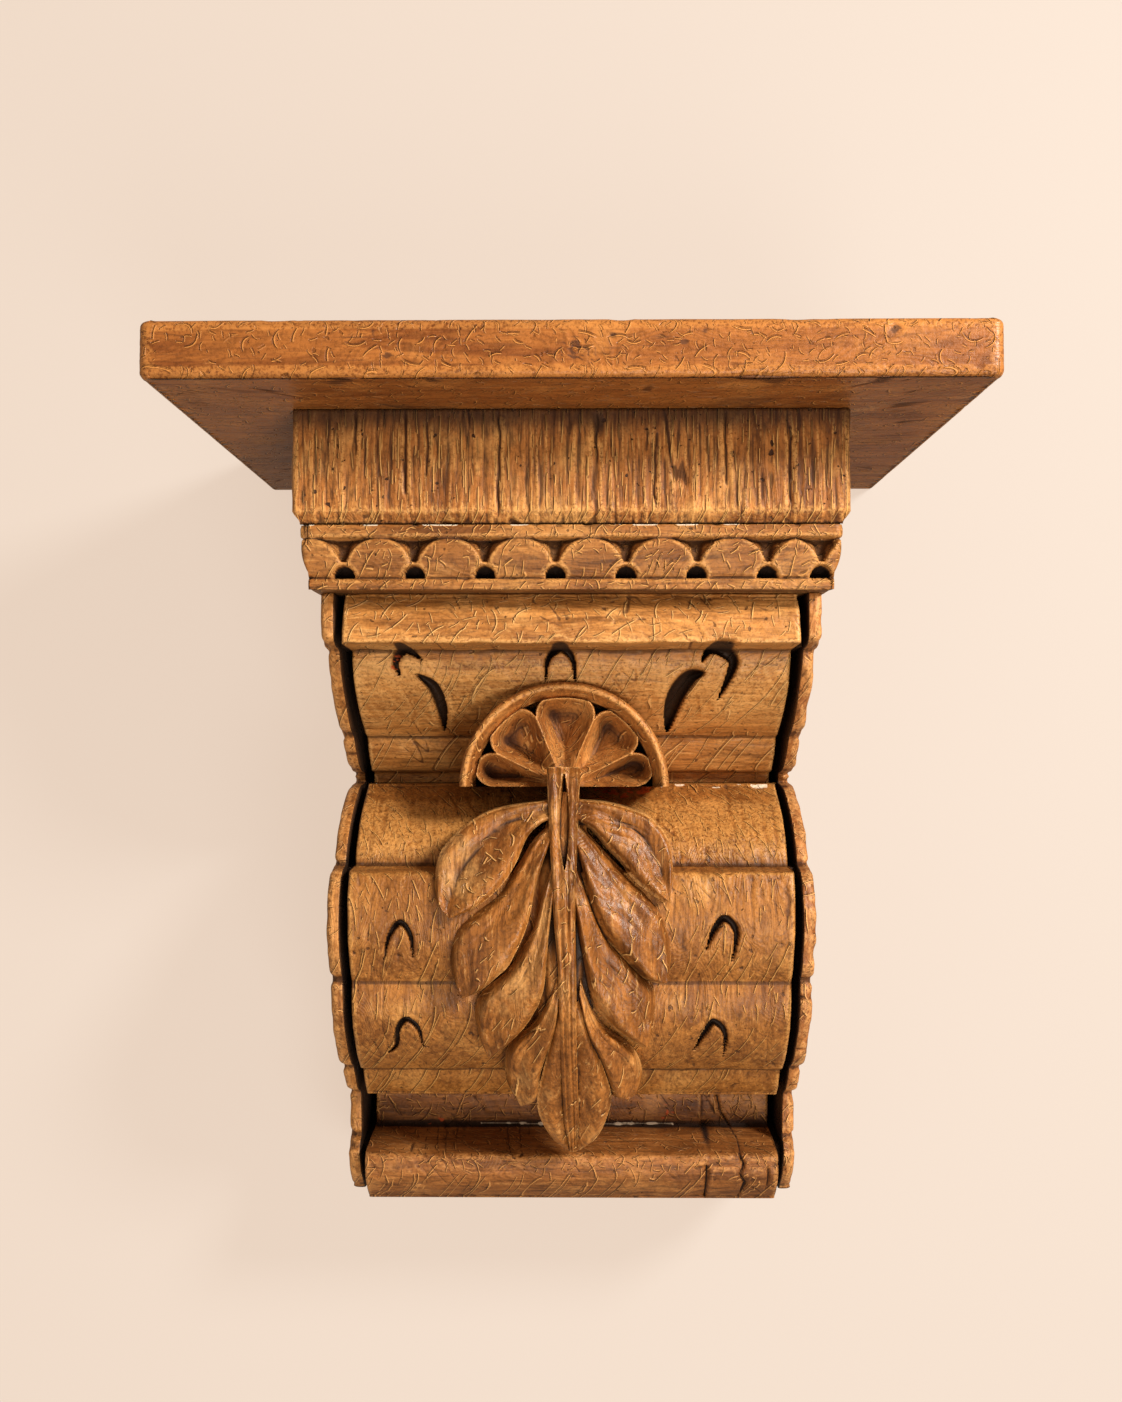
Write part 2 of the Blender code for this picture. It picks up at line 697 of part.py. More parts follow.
def seat_body():
    """The belly's own outline, grown by the joint gap, from which the leaf's back is cut."""
    line = [(BELLY_TOP, FOOT_BANDS[0].bottom), *BELLY_ROWS, (BELLY_BOTTOM, FOOT_BANDS[0].bottom)]
    slopes = []
    for (upper, upper_out), (lower, lower_out) in zip(line, line[1:]):
        size = math.hypot(upper - lower, upper_out - lower_out)
        slopes.append(((lower_out - upper_out) / size, (upper - lower) / size))
    grown = []
    for index, (level, out) in enumerate(line):
        before = slopes[max(index - 1, 0)]
        after = slopes[min(index, len(slopes) - 1)]
        spread = 1 + before[0] * after[0] + before[1] * after[1]
        grown.append((
            out + JOINT_GAP * (before[1] + after[1]) / spread,
            level + JOINT_GAP * (before[0] + after[0]) / spread,
        ))
    half = FACE_WIDTH / 2
    return loft([[(across, -out, level) for out, level in grown] for across in (-half, half)])


def rosette_seat_body():
    """The block in front of which the stem laps over the rosette."""
    half = FACE_WIDTH / 2
    low, high = BELLY_TOP, BELLY_TOP + 3 * LEAF_LAP
    near, far = ROSETTE_FACE + JOINT_GAP, ROSETTE_ROOT
    square = ((near, low), (near, high), (far, high), (far, low))
    return loft([[(across, -out, level) for out, level in square] for across in (-half, half)])


def build_leaf(material):
    """Eight leaflets and a last lobe on a stem, carved in one and seated on the belly."""
    leaf = add_object("pendant_leaf", stem_body(), material)
    combine(leaf, add_object("web_guide", web_body()), "UNION")
    combine(leaf, add_object("terminal_guide", terminal_body()), "UNION")
    for index, lobe in enumerate(LOBES):
        combine(leaf, add_object(f"lobe_guide_{index}", lobe_body(lobe)), "UNION")
    combine(leaf, add_object("slot_cutter", slot_body()), "DIFFERENCE")
    combine(leaf, add_object("belly_seat_cutter", seat_body()), "DIFFERENCE", folded=True)
    combine(leaf, add_object("rosette_seat_cutter", rosette_seat_body()), "DIFFERENCE")
    return leaf


clear_scene()
build_shelf_board(wood("shelf_wood", (0.36, 0.14, 0.040), 0.55))
build_cap_block(wood("cap_wood", (0.33, 0.14, 0.038), 0.70))
build_egg_course(wood("egg_wood", (0.40, 0.18, 0.050), 0.65))
build_upper_scroll(wood("upper_wood", (0.42, 0.18, 0.048), 0.65))
build_belly(wood("belly_wood", (0.38, 0.16, 0.042), 0.65))
build_foot(wood("foot_wood", (0.30, 0.12, 0.030), 0.70))
build_cheek("cheek_left", -1, wood("left_cheek_wood", (0.30, 0.13, 0.034), 0.70))
build_cheek("cheek_right", 1, wood("right_cheek_wood", (0.36, 0.15, 0.042), 0.70))
build_leaf(wood("leaf_wood", (0.44, 0.19, 0.055), 0.60))
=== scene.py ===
"""Looks of the carved shelf bracket: the surface of each wooden piece, the wall and the light."""

import math
from collections import namedtuple

import bpy
import numpy as np
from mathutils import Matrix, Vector


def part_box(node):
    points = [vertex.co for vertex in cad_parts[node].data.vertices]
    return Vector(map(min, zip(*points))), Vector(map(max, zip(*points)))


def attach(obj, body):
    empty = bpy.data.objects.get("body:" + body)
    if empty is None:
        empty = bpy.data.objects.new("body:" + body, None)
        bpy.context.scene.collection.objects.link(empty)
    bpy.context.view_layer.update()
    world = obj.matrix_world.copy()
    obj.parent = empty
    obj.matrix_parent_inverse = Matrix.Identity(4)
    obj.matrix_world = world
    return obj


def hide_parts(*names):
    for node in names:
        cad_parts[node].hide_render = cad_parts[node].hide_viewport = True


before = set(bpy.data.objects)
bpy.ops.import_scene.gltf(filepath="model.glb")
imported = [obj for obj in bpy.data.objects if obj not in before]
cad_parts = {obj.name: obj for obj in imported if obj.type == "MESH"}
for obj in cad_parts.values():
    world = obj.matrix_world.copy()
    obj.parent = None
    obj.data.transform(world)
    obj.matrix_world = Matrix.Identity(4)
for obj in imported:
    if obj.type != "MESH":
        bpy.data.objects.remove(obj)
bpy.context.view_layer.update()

# The view: a camera at the height of the bracket's neck, half a metre in front of the shelf,
# with a touch of tilt and turn. Its focal length is in pixels of the photograph.
PHOTO_HEIGHT = 1402
FOCAL_PIXELS = 1350
SENSOR_WIDTH = 36.0
CAMERA_PLACE = (0.002, -0.8145, 0.0310)
CAMERA_TILT = 91.82
CAMERA_TURN = 0.6
lens = bpy.data.cameras.new("camera")
lens.sensor_width = SENSOR_WIDTH
lens.lens = FOCAL_PIXELS / PHOTO_HEIGHT * SENSOR_WIDTH
camera = bpy.data.objects.new("camera", lens)
camera.location = CAMERA_PLACE
camera.rotation_euler = (math.radians(CAMERA_TILT), 0.0, math.radians(CAMERA_TURN))
bpy.context.scene.collection.objects.link(camera)
bpy.context.scene.camera = camera


# The shelf board is one plain board of old hardwood, planed and then worn: its grain runs from
# end to end, its edges are rounded and dented, and a knot sits in the front edge. It lies on
# the cap block.
def smooth_noise(points, swell, seed, octaves=1):
    """Smooth chance values, about -1 to 1, with swells of the given size along X, Y and Z."""
    shape = points.shape[:-1]
    points = points.reshape(-1, 3)
    total = np.zeros(len(points))
    share = 1.0
    for octave in range(octaves):
        place = points / (np.array(swell, float) / 2 ** octave) + 31.7 * (seed + octave)
        cell = np.floor(place).astype(np.int64)
        inside = place - cell
        fade = inside ** 3 * (inside * (inside * 6 - 15) + 10)
        for corner in np.ndindex(2, 2, 2):
            key = (cell + corner) @ np.array([73856093, 19349663, 83492791])
            key = (key ^ (key >> 13)) * 1274126177 & 0xFFFFFFFF
            key = (key ^ (key >> 15)) * 2246822519 & 0xFFFFFFFF
            slope = np.stack([(key >> shift & 1023) / 511.5 - 1 for shift in (0, 10, 20)], 1)
            weight = np.prod(np.where(corner, fade, 1 - fade), axis=1)
            total += share * weight * np.sum(slope * (inside - corner), axis=1)
        share /= 2
    return 1.5 * total.reshape(shape)


def upright(across, level):
    """The points of an upright sheet, from the places across it and up it."""
    return np.stack(np.broadcast_arrays(across, 0.0, level), -1)


def ease(values, low, high):
    """0 below low, 1 above high, with a soft run between."""
    along = np.clip((values - low) / (high - low), 0.0, 1.0)
    return along * along * (3 - 2 * along)


def between(values, low, high):
    return (values > low) * (values < high)


def peak(values, place, width):
    """1 at a place and 0 away from it, as a bell."""
    return np.exp(-(((values - place) / width) ** 2))


def blur(grid, reach, axis):
    """A running average along one axis of a grid, twice, with its ends held."""
    for _ in range(2):
        pad = [(0, 0)] * grid.ndim
        pad[axis] = (reach + 1, reach)
        total = np.cumsum(np.pad(grid, pad, mode="edge"), axis=axis)
        count = grid.shape[axis]
        upper = np.take(total, np.arange(2 * reach + 1, 2 * reach + 1 + count), axis=axis)
        lower = np.take(total, np.arange(count), axis=axis)
        grid = (upper - lower) / (2 * reach + 1)
    return grid


def facing(grid):
    """Unit normals of a grid of points, on the side that rows x columns turn to."""
    down = np.gradient(grid, axis=0)
    across = np.gradient(grid, axis=1)
    normal = np.cross(across, down)
    return normal / np.maximum(np.linalg.norm(normal, axis=2, keepdims=True), 1e-12)


def hollow_of(grid, normal, reach):
    """How far each point lies below the surface around it, in metres, negative on a ridge."""
    around = blur(blur(grid, reach, 0), reach, 1)
    return np.sum((around - grid) * normal, axis=2)


def point_values(mesh, **values):
    """Writes a value at each point of a mesh for its material."""
    for label, value in values.items():
        layer = mesh.attributes.new(label, "FLOAT", "POINT")
        layer.data.foreach_set("value", np.ascontiguousarray(value, np.float32).ravel())


def linked(name, mesh):
    thing = bpy.data.objects.new(name, mesh)
    bpy.context.scene.collection.objects.link(thing)
    return thing


def wooden_mesh(name, points, faces, **values):
    """A mesh object from points and faces, with a value at each point for its material."""
    mesh = bpy.data.meshes.new(name)
    mesh.from_pydata(points.tolist(), [], faces)
    point_values(mesh, **values)
    mesh.shade_smooth()
    return linked(name, mesh)


def wrapped(name, grid, **values):
    """A closed body from rings of points, from its top ring to its bottom one."""
    rings, count = grid.shape[:2]
    index = np.arange(rings * count).reshape(rings, count)
    after = np.roll(index, -1, axis=1)
    quads = np.stack([index[:-1], index[1:], after[1:], after[:-1]], axis=-1).reshape(-1, 4)
    centre = grid.reshape(-1, 3).mean(axis=0)
    a, b, c = (grid.reshape(-1, 3)[quads[:, k]] - centre for k in (0, 1, 2))
    faces = quads.tolist() + [index[0].tolist(), index[-1][::-1].tolist()]
    if np.sum(a * np.cross(b, c)) < 0:
        faces = [face[::-1] for face in faces]
    return wooden_mesh(name, grid.reshape(-1, 3), faces, **values)


def polyline(points, step):
    """Points at about an even step along straight runs, corners kept."""
    points = np.array(points, float)
    out = [points[:1]]
    for start, end in zip(points, points[1:]):
        count = max(int(round(np.linalg.norm(end - start) / step)), 1)
        along = np.linspace(0, 1, count + 1)[1:, None]
        out.append(start + (end - start) * along)
    return np.concatenate(out)


class Wire:
    """A value on its way through a material: arithmetic on it adds the nodes."""

    def __init__(self, finish, socket):
        self.finish = finish
        self.socket = socket

    def arithmetic(self, operation, *values):
        return self.finish.node(
            "ShaderNodeMath", {"operation": operation}, dict(enumerate(values)),
        )

    def __add__(self, other):
        return self.arithmetic("ADD", self, other)

    def __radd__(self, other):
        return self.arithmetic("ADD", other, self)

    def __sub__(self, other):
        return self.arithmetic("SUBTRACT", self, other)

    def __rsub__(self, other):
        return self.arithmetic("SUBTRACT", other, self)

    def __mul__(self, other):
        return self.arithmetic("MULTIPLY", self, other)

    def __rmul__(self, other):
        return self.arithmetic("MULTIPLY", other, self)

    def __abs__(self):
        return self.arithmetic("ABSOLUTE", self)

    def other(self, label):
        """Another output of the node that made this value."""
        return Wire(self.finish, self.socket.node.outputs[label])

    def eased(self, low, high):
        """0 at low and 1 at high, with a soft run between."""
        return self.finish.node(
            "ShaderNodeMapRange", {"interpolation_type": "SMOOTHSTEP"},
            {0: self, 1: low, 2: high, 3: 0.0, 4: 1.0},
        )


class Finish:
    """One material, built up wire by wire."""

    def __init__(self, name):
        self.material = bpy.data.materials.new(name)
        self.material.use_nodes = True
        self.tree = self.material.node_tree
        self.surface = self.tree.nodes["Principled BSDF"]

    def node(self, kind, settings=None, sockets=None, output=0):
        made = self.tree.nodes.new(kind)
        for label, value in (settings or {}).items():
            setattr(made, label, value)
        self.plug(made, sockets or {})
        return Wire(self, made.outputs[output])

    def plug(self, made, sockets):
        for label, value in sockets.items():
            if isinstance(value, Wire):
                self.tree.links.new(value.socket, made.inputs[label])
            else:
                made.inputs[label].default_value = value

    def mix(self, share, under, over):
        """Colours: under where share is 0, over where it is 1."""
        sockets = {0: share, 6: under, 7: over}
        return self.node("ShaderNodeMix", {"data_type": "RGBA"}, sockets, output=2)

    def noise(self, place, scale, detail=2.0, rough=0.5, bend=0.0):
        return self.node(
            "ShaderNodeTexNoise", None,
            {"Vector": place, "Scale": scale, "Detail": detail, "Roughness": rough,
             "Distortion": bend},
        )

    def stretched(self, place, scale):
        return self.node("ShaderNodeMapping", None, {"Vector": place, "Scale": scale})

    def dashes(self, place, scale, lean, spread, bend, length, width, share):
        """Short curved tool marks, at most one to a cell: raised lines with a painted highlight,
        and dark nicks beside them in painted shadow.
        """
        x = self.node("ShaderNodeSeparateXYZ", None, {"Vector": place})
        y = x.other("Y")
        flat = self.node("ShaderNodeCombineXYZ", None, {0: x + 0.7 * y, 2: x.other("Z") + y})
        cell = self.node("ShaderNodeTexVoronoi", None, {"Vector": flat, "Scale": scale}, "Position")
        chance = self.node("ShaderNodeSeparateColor", None, {"Color": cell.other("Color")})
        offset = self.node("ShaderNodeVectorMath", {"operation": "SUBTRACT"}, {0: flat, 1: cell})
        x = self.node("ShaderNodeSeparateXYZ", None, {"Vector": offset})
        z = x.other("Z")
        turn = (chance - 0.5) * spread + lean
        sine = turn.arithmetic("SINE", turn)
        cosine = turn.arithmetic("COSINE", turn)
        along = x * sine + z * cosine
        aside = x * cosine - z * sine + (chance.other("Blue") - 0.5) * along * along * bend
        body = 1.0 - abs(along).eased(0.55 * length, length)
        body = body * chance.other("Green").eased(1.0 - share, 1.05 - share)
        line = (1.0 - abs(aside).eased(0.30 * width, width)) * body
        nick = (1.0 - abs(aside + 1.5 * width).eased(0.30 * width, 1.1 * width)) * body
        return line, nick

    def value(self, label):
        return self.node("ShaderNodeAttribute", {"attribute_name": label}, output="Fac")


def rgba(red, green, blue):
    """A colour given as 0 to 255, as the linear values that a shader takes."""
    shares = [part / 255 for part in (red, green, blue)]
    return [s / 12.92 if s <= 0.04045 else ((s + 0.055) / 1.055) ** 2.4 for s in shares] + [1.0]


# Tool marks: cells to a metre, each mark's length and width, and the share of cells with one.
LONG_MARKS = (68.0, 0.0105, 0.00048, 0.62)
SHORT_MARKS = (150.0, 0.0042, 0.00034, 0.55)
BUMP_HEIGHT = 0.00075
# Colour of the painted shade in the deepest places.
CREVICE_SHADE = rgba(20, 9, 3)
FILLER = rgba(232, 214, 190)
OLD_PAINT = rgba(196, 84, 34)


def old_wood(name, grain, dirt_and_shade, brown, golden, light, gloss=0.50, marks=1.0, streaks=1.0,
             size=1.0, lean=0.3, spread=1.6, bend=90.0):
    """Aged carved wood: figure, short raised marks, dirt in the small hollows, painted shade in the
    deep places and worn ridges.
    """
    dirt_and_shade, brown, golden, light = (rgba(*colour) for colour in (dirt_and_shade, brown, golden, light))
    f = Finish(name)
    place = f.node("ShaderNodeTexCoord", output="Object")
    long_run = {"X": (1.0, 9.0, 9.0), "Z": (9.0, 9.0, 1.0)}[grain]
    run = f.stretched(place, long_run)
    fibre = f.noise(run, 52.0, detail=4.0, rough=0.65, bend=0.4)
    bands = f.noise(run, 11.0, detail=3.0, rough=0.6, bend=1.0)
    patch = f.noise(place, 34.0, detail=4.0, rough=0.62)
    cloud = f.noise(place, 9.0, detail=2.0)
    fleck = f.noise(place, 700.0, detail=2.0, rough=0.7)
    figure = f.noise(f.stretched(place, [k ** 0.5 for k in long_run]), 13.0, detail=1.0, bend=0.6)
    rings = f.node("ShaderNodeMath", {"operation": "SINE"}, {0: figure * 170.0})
    (line, nick), (burr, cut) = (
        f.dashes(place, cells / size, lean, turn, bend / size, length * size, width, share * marks)
        for turn, (cells, length, width, share) in ((spread, LONG_MARKS), (2 * spread, SHORT_MARKS))
    )
    pit = (1.0 - f.noise(place, 300.0, detail=1.0).eased(0.24, 0.28)) * marks
    hollow = f.value("hollow")
    deep = f.value("deep")

    ridge = (hollow * -1.0).eased(0.25, 1.0) * fleck.eased(0.30, 0.60)
    sunk = hollow.eased(0.10, 0.90)
    # Painted shade with a little dirt tone: the deep value, broken by patches, darkens the wood
    # where shade falls.
    grime_and_shade = (deep + (patch - 0.5) * 0.5).eased(0.15, 0.95)
    colour = f.mix(bands.eased(0.36, 0.62) * 0.85, brown, golden)
    for share, over in (
        (cloud.eased(0.44, 0.64) * 0.50, golden),
        (patch.eased(0.50, 0.72) * 0.42, light),
        ((1.0 - patch.eased(0.32, 0.50)) * 0.50, brown),
        ((1.0 - fibre.eased(0.32, 0.52)) * (0.50 * streaks), dirt_and_shade),
        (fibre.eased(0.56, 0.72) * (0.42 * streaks), light),
        (rings.eased(0.2, 1.0) * 0.20, dirt_and_shade),
        ((1.0 - fleck.eased(0.36, 0.52)) * 0.28, dirt_and_shade),
        # Painted highlight and shadow: the marks' raised lines are painted light, and the nicks and
        # cuts beside them dark.
        (nick * 0.42, dirt_and_shade),
        (line * 0.70, light),
        (cut * 0.40, dirt_and_shade),
        (burr * 0.62, light),
        (pit * 0.65, dirt_and_shade),
        (ridge * 0.42, light),
        (sunk * 0.72, dirt_and_shade),
        (grime_and_shade * 0.92, dirt_and_shade),
        # Painted shade: the deepest places turn near black.
        (deep.eased(0.80, 1.10) * 0.75, CREVICE_SHADE),
        (f.value("filler").eased(0.35, 0.60) * 0.85, FILLER),
        (f.value("paint").eased(0.25, 0.55) * 0.85, OLD_PAINT),
    ):
        colour = f.mix(share, colour, over)

    roughness = gloss + 0.20 * sunk + 0.20 * grime_and_shade + (fleck - 0.5) * 0.30 - 0.08 * ridge
    height = fibre * (0.55 * streaks) + fleck * 0.22 + rings * 0.050 + patch * 0.6
    height = height + line * 0.75 + burr * 0.55 - nick * 0.60 - cut * 0.45 - pit * 0.60
    bump = f.node(
        "ShaderNodeBump", None, {"Strength": 1.0, "Distance": BUMP_HEIGHT, "Height": height},
        output="Normal",
    )
    f.plug(f.surface, {"Base Color": colour, "Roughness": roughness, "Normal": bump})
    f.surface.inputs["Specular IOR Level"].default_value = 0.30
    return f.material


def finished(thing, material, slot, *nodes):
    """Gives a piece its material and lets it stand for its solid."""
    thing.data.materials.append(material)
    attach(thing, "root")
    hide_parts(*nodes)


def scaled(values, full):
    """A hollow or ridge in metres as a share of a full one, held between -1 and 1."""
    return np.clip(values / full, -1.0, 1.0)


SHELF_CORNER = 0.0048
SHELF_ROUND = 0.0032
SHELF_STEP = 0.0014
KNOT_X = 0.002
KNOT_LEVEL = 0.196


def shelf_outline(inset):
    """The board's plan from its back right corner round the front, at a small inset."""
    low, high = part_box("shelf_board")
    half = high.x - inset
    front = low.y + inset
    radius = SHELF_CORNER - inset
    points = [(half, 0.0)]
    for side, start in ((1, 0), (-1, -90)):
        for turn in np.radians(np.linspace(start, start - 90, 9)):
            points.append((
                side * (half - radius) + radius * math.cos(turn),
                front + radius + radius * math.sin(turn),
            ))
    points.append((-half, 0.0))
    return points


def shelf_grid():
    low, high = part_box("shelf_board")
    plan = polyline(shelf_outline(0.0), SHELF_STEP)
    back = polyline([plan[-1], plan[0]], 0.004)[1:-1]
    plan = np.concatenate([plan, back])
    middle = np.array([0.0, (low.y + high.y) / 2])
    rings = []
    for share in (0.02, 0.2, 0.38, 0.52, 0.64, 0.74, 0.82, 0.88, 0.93, 0.965):
        ring = middle + (plan - middle) * share
        rings.append(np.column_stack([ring, np.full(len(ring), high.z)]))
    arc = np.radians(np.linspace(90, 0, 6))
    rounding = [(SHELF_ROUND * (1 - math.cos(a)), SHELF_ROUND * (1 - math.sin(a))) for a in arc]
    profile = [(inset, high.z - drop) for inset, drop in rounding]
    side = np.linspace(high.z - SHELF_ROUND, low.z + SHELF_ROUND, 20)[1:-1]
    profile += [(0.0, level) for level in side]
    profile += [(inset, low.z + rise) for inset, rise in rounding[::-1]]
    outward = np.zeros_like(plan)
    outward[:, 0] = -np.sign(plan[:, 0]) * (np.abs(plan[:, 0]) > high.x - SHELF_CORNER)
    outward[:, 1] = plan[:, 1] < low.y + SHELF_CORNER
    outward /= np.maximum(np.linalg.norm(outward, axis=1, keepdims=True), 1.0)
    for inset, level in profile:
        ring = plan + outward * inset
        rings.append(np.column_stack([ring, np.full(len(ring), level)]))
    for share in (0.985, 0.965, 0.94, 0.91, 0.87, 0.82, 0.76, 0.69, 0.6, 0.48, 0.34, 0.18, 0.02):
        ring = middle + (plan - middle) * share
        rings.append(np.column_stack([ring, np.full(len(ring), low.z)]))
    return np.array(rings)


def build_shelf():
    grid = shelf_grid()
    low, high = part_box("shelf_board")
    x, y, z = np.moveaxis(grid, -1, 0)
    wear = smooth_noise(grid, (0.05, 0.05, 0.05), 3, 3)
    dent = ease(smooth_noise(grid, (0.009, 0.012, 0.008), 5), 0.50, 0.95)
    fibre = smooth_noise(grid, (0.030, 0.0014, 0.0014), 8, 2)
    knot = peak(x, KNOT_X, 0.007) * peak(z, KNOT_LEVEL, 0.005)
    ripple = np.cos(2600 * np.hypot(x - KNOT_X, (z - KNOT_LEVEL) * 1.4))
    rounding = np.minimum(high.z - z, z - low.z)
    arris = ease(-rounding, -0.005, 0.0) * ease(np.abs(y / low.y), 0.9, 1.0)
    sink = 0.00018 * wear + 0.0005 * dent + 0.00012 * fibre + 0.0005 * knot * ripple
    sink += 0.0006 * arris * ease(smooth_noise(grid, (0.022, 0.05, 0.05), 12, 2), 0.1, 0.8)
    away = ease(-y, 0.003, 0.012)
    normal = facing(grid)
    outward = np.sign(np.sum(normal * (grid - grid.mean(axis=(0, 1))), axis=2, keepdims=True))
    moved = grid - normal * outward * (np.abs(sink) * away)[:, :, None]
    normal = facing(moved) * outward
    hollow = scaled(hollow_of(moved, normal, 2), 0.00012)
    # Painted shade: the underside is darkened; the knot is darker in its own colour.
    deep = 0.25 * ease(-z, -low.z - 0.001, -low.z) + 0.3 * knot
    return wrapped("shelf", moved, hollow=hollow, deep=deep)


finished(
    build_shelf(),
    old_wood(
        "shelf_wood", "X", (56, 25, 5), (124, 67, 25), (168, 101, 44), (212, 142, 72),
        gloss=0.42, marks=0.7, streaks=0.6, size=0.5, lean=1.0, spread=2.2, bend=160.0,
    ),
    "shelf_wood", "shelf_board",
)


# The cap block is a plain riven block with its grain upright, open and weathered. Its lower
# arris is worn to a chamfer. It carries the shelf and lies on the egg course.
CAP_CORNER = 0.004
CAP_ARRIS = 0.0056
CAP_STEP = 0.00066
CAP_CHAMFER = 0.0046
# Each crack: its place across, and how far it stops short of the top and of the foot.
CAP_CRACKS = (
    (-0.0985, 0.000, 0.030), (-0.0759, 0.000, 0.012), (-0.0660, 0.004, 0.020),
    (-0.0332, 0.000, 0.002), (0.0120, 0.000, 0.026), (0.0390, 0.010, 0.006),
    (0.0715, 0.000, 0.016), (0.1010, 0.006, 0.008),
)


def three_sides(half, depth, corner, step):
    """Plan of a block against the wall: points, the ways they face, and the run round it."""
    side = np.linspace(0.0, depth - corner, int((depth - corner) / step))
    turn = np.radians(np.linspace(0, 90, 10))[1:-1]
    front = np.linspace(half - corner, 0.0, int((half - corner) / step))
    points = [np.column_stack([np.full(len(side), half), -side])]
    ways = [np.tile([1.0, 0.0], (len(side), 1))]
    points.append(np.column_stack([
        half - corner + corner * np.cos(turn), -depth + corner - corner * np.sin(turn),
    ]))
    ways.append(np.column_stack([np.cos(turn), -np.sin(turn)]))
    points.append(np.column_stack([front, np.full(len(front), -depth)]))
    ways.append(np.tile([0.0, -1.0], (len(front), 1)))
    points, ways = np.concatenate(points), np.concatenate(ways)
    run = np.where(points[:, 0] < half - corner, points[:, 0], half + depth + points[:, 1])
    arc = slice(len(side), len(side) + len(turn))
    run[arc] = half + corner * (1 - 2 * turn / (math.pi / 2))
    mirror = np.array([-1.0, 1.0])
    points = np.concatenate([points, points[-2::-1] * mirror])
    ways = np.concatenate([ways, ways[-2::-1] * mirror])
    run = np.concatenate([run, -run[-2::-1]])
    back = np.linspace(-half, half, 12)[1:-1]
    points = np.concatenate([points, np.column_stack([back, np.zeros(len(back))])])
    ways = np.concatenate([ways, np.tile([0.0, 1.0], (len(back), 1))])
    run = np.concatenate([run, back])
    shown = np.concatenate([np.ones(len(run) - len(back)), np.zeros(len(back))])
    shown *= ease(-points[:, 1], 0.001, 0.006)
    return points, ways, run, shown


def raised(points, ways, levels, setback):
    """A grid of rings: the plan moved in by a setback for each level and place."""
    grid = np.zeros((*setback.shape, 3))
    grid[:, :, :2] = points[None] - ways[None] * setback[:, :, None]
    grid[:, :, 2] = levels[:, None]
    return grid


def side_hollows(grid, ways, shown, reach, full):
    """The hollows of a block's three carved sides, as shares of a full one."""
    normal = np.zeros_like(grid)
    normal[:, :, :2] = ways
    return scaled(hollow_of(grid, normal, reach) * shown, full)


def crack(across, level, place, top, foot, seed):
    """A thin wandering crack down the grain: 1 on its line, 0 beside it."""
    drift = 0.0012 * smooth_noise(upright(0.0, level), (1, 1, 0.016), seed, 2)
    near = peak(across - drift, place, 0.00045)
    return near * ease(level, foot, foot + 0.004) * ease(-level, -top, -top + 0.004)


def build_cap():
    low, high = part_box("cap_block")
    points, ways, run, shown = three_sides(high.x, -low.y, CAP_CORNER, CAP_STEP)
    levels = np.concatenate([
        np.linspace(high.z, low.z + CAP_ARRIS, 34)[:-1],
        np.linspace(low.z + CAP_ARRIS, low.z, 11),
    ])
    place, level = np.meshgrid(run, levels)
    down = np.clip((low.z + CAP_ARRIS - level) / CAP_ARRIS, 0, 1)
    flat = upright(place, level)
    ridge = smooth_noise(flat, (0.0032, 1, 0.060), 2, 3)
    fibre = smooth_noise(flat, (0.0013, 1, 0.022), 6, 2)
    swell = smooth_noise(flat, (0.045, 1, 0.030), 9, 2)
    split = 1 - ease(np.abs(smooth_noise(flat, (0.0105, 1, 0.110), 14)), 0.0, 0.085)
    split *= ease(smooth_noise(flat, (0.030, 1, 0.020), 17), 0.0, 0.5)
    chip = ease(smooth_noise(flat, (0.008, 1, 0.006), 19, 2), 0.35, 0.8)
    open_cracks = np.max([
        crack(place, level, middle, high.z - top, low.z + foot, int(middle * 5000))
        for middle, top, foot in CAP_CRACKS
    ], axis=0)
    sink = 0.00042 * (1 - ridge) + 0.00026 * fibre + 0.00050 * ease(swell, -0.2, 0.9)
    sink += 0.0009 * split + 0.0010 * chip * ease(down, 0.05, 0.6) + 0.0016 * open_cracks
    grid = raised(points, ways, levels, CAP_CHAMFER * down ** 1.15 + sink * shown)
    # Painted shadow: the top 20 mm of the cap is darkened where the shelf's shadow falls, and the
    # splits and cracks are painted dark as shade in them.
    deep = 0.80 * ease(level, high.z - 0.020, high.z - 0.001) + 0.35 * split
    return wrapped(
        "cap", grid, hollow=side_hollows(grid, ways, shown, 2, 0.00022),
        deep=np.maximum(deep, 0.95 * open_cracks),
    )


finished(
    build_cap(),
    old_wood(
        "cap_wood", "Z", (46, 20, 5), (132, 76, 28), (186, 118, 56), (240, 180, 104),
        marks=1.45, streaks=1.35, size=1.2, lean=0.0, spread=0.10, bend=8.0,
    ),
    "block_wood", "cap_block",
)


# The egg course is one board carved along its front and sides with eggs. Three-cornered
# pockets were cut between their tops, and a hole was drilled under each pocket. A thread of
# pale filler shows in the joint above it.
EGG_CORNER = 0.004
EGG_STEP = 0.00070
EGG_ROW_STEP = 0.00056
EGG_TOP_FILLET = 0.0060
EGG_FOOT_FILLET = 0.0050
EGG_TAPER = 0.0045
EGG_BULGE = 0.0020
EGG_LIP = 0.0012
EGG_PITCH = 0.0328
EGG_FIRST_HOLE = 0.0205
EGG_LAST_HOLE = 0.0100
EGG_FRONT_HOLES = 7
EGG_SIDE_HOLES = 6
EGG_HOLE_WIDTH = 0.0096
EGG_HOLE_HEIGHT = 0.0054
EGG_HOLE_DEPTH = 0.0080
EGG_ARCH_RISE = 0.0112
EGG_POCKET_DEPTH = 0.0080
EGG_DOME = 0.0016
EGG_RADIUS = 0.0158


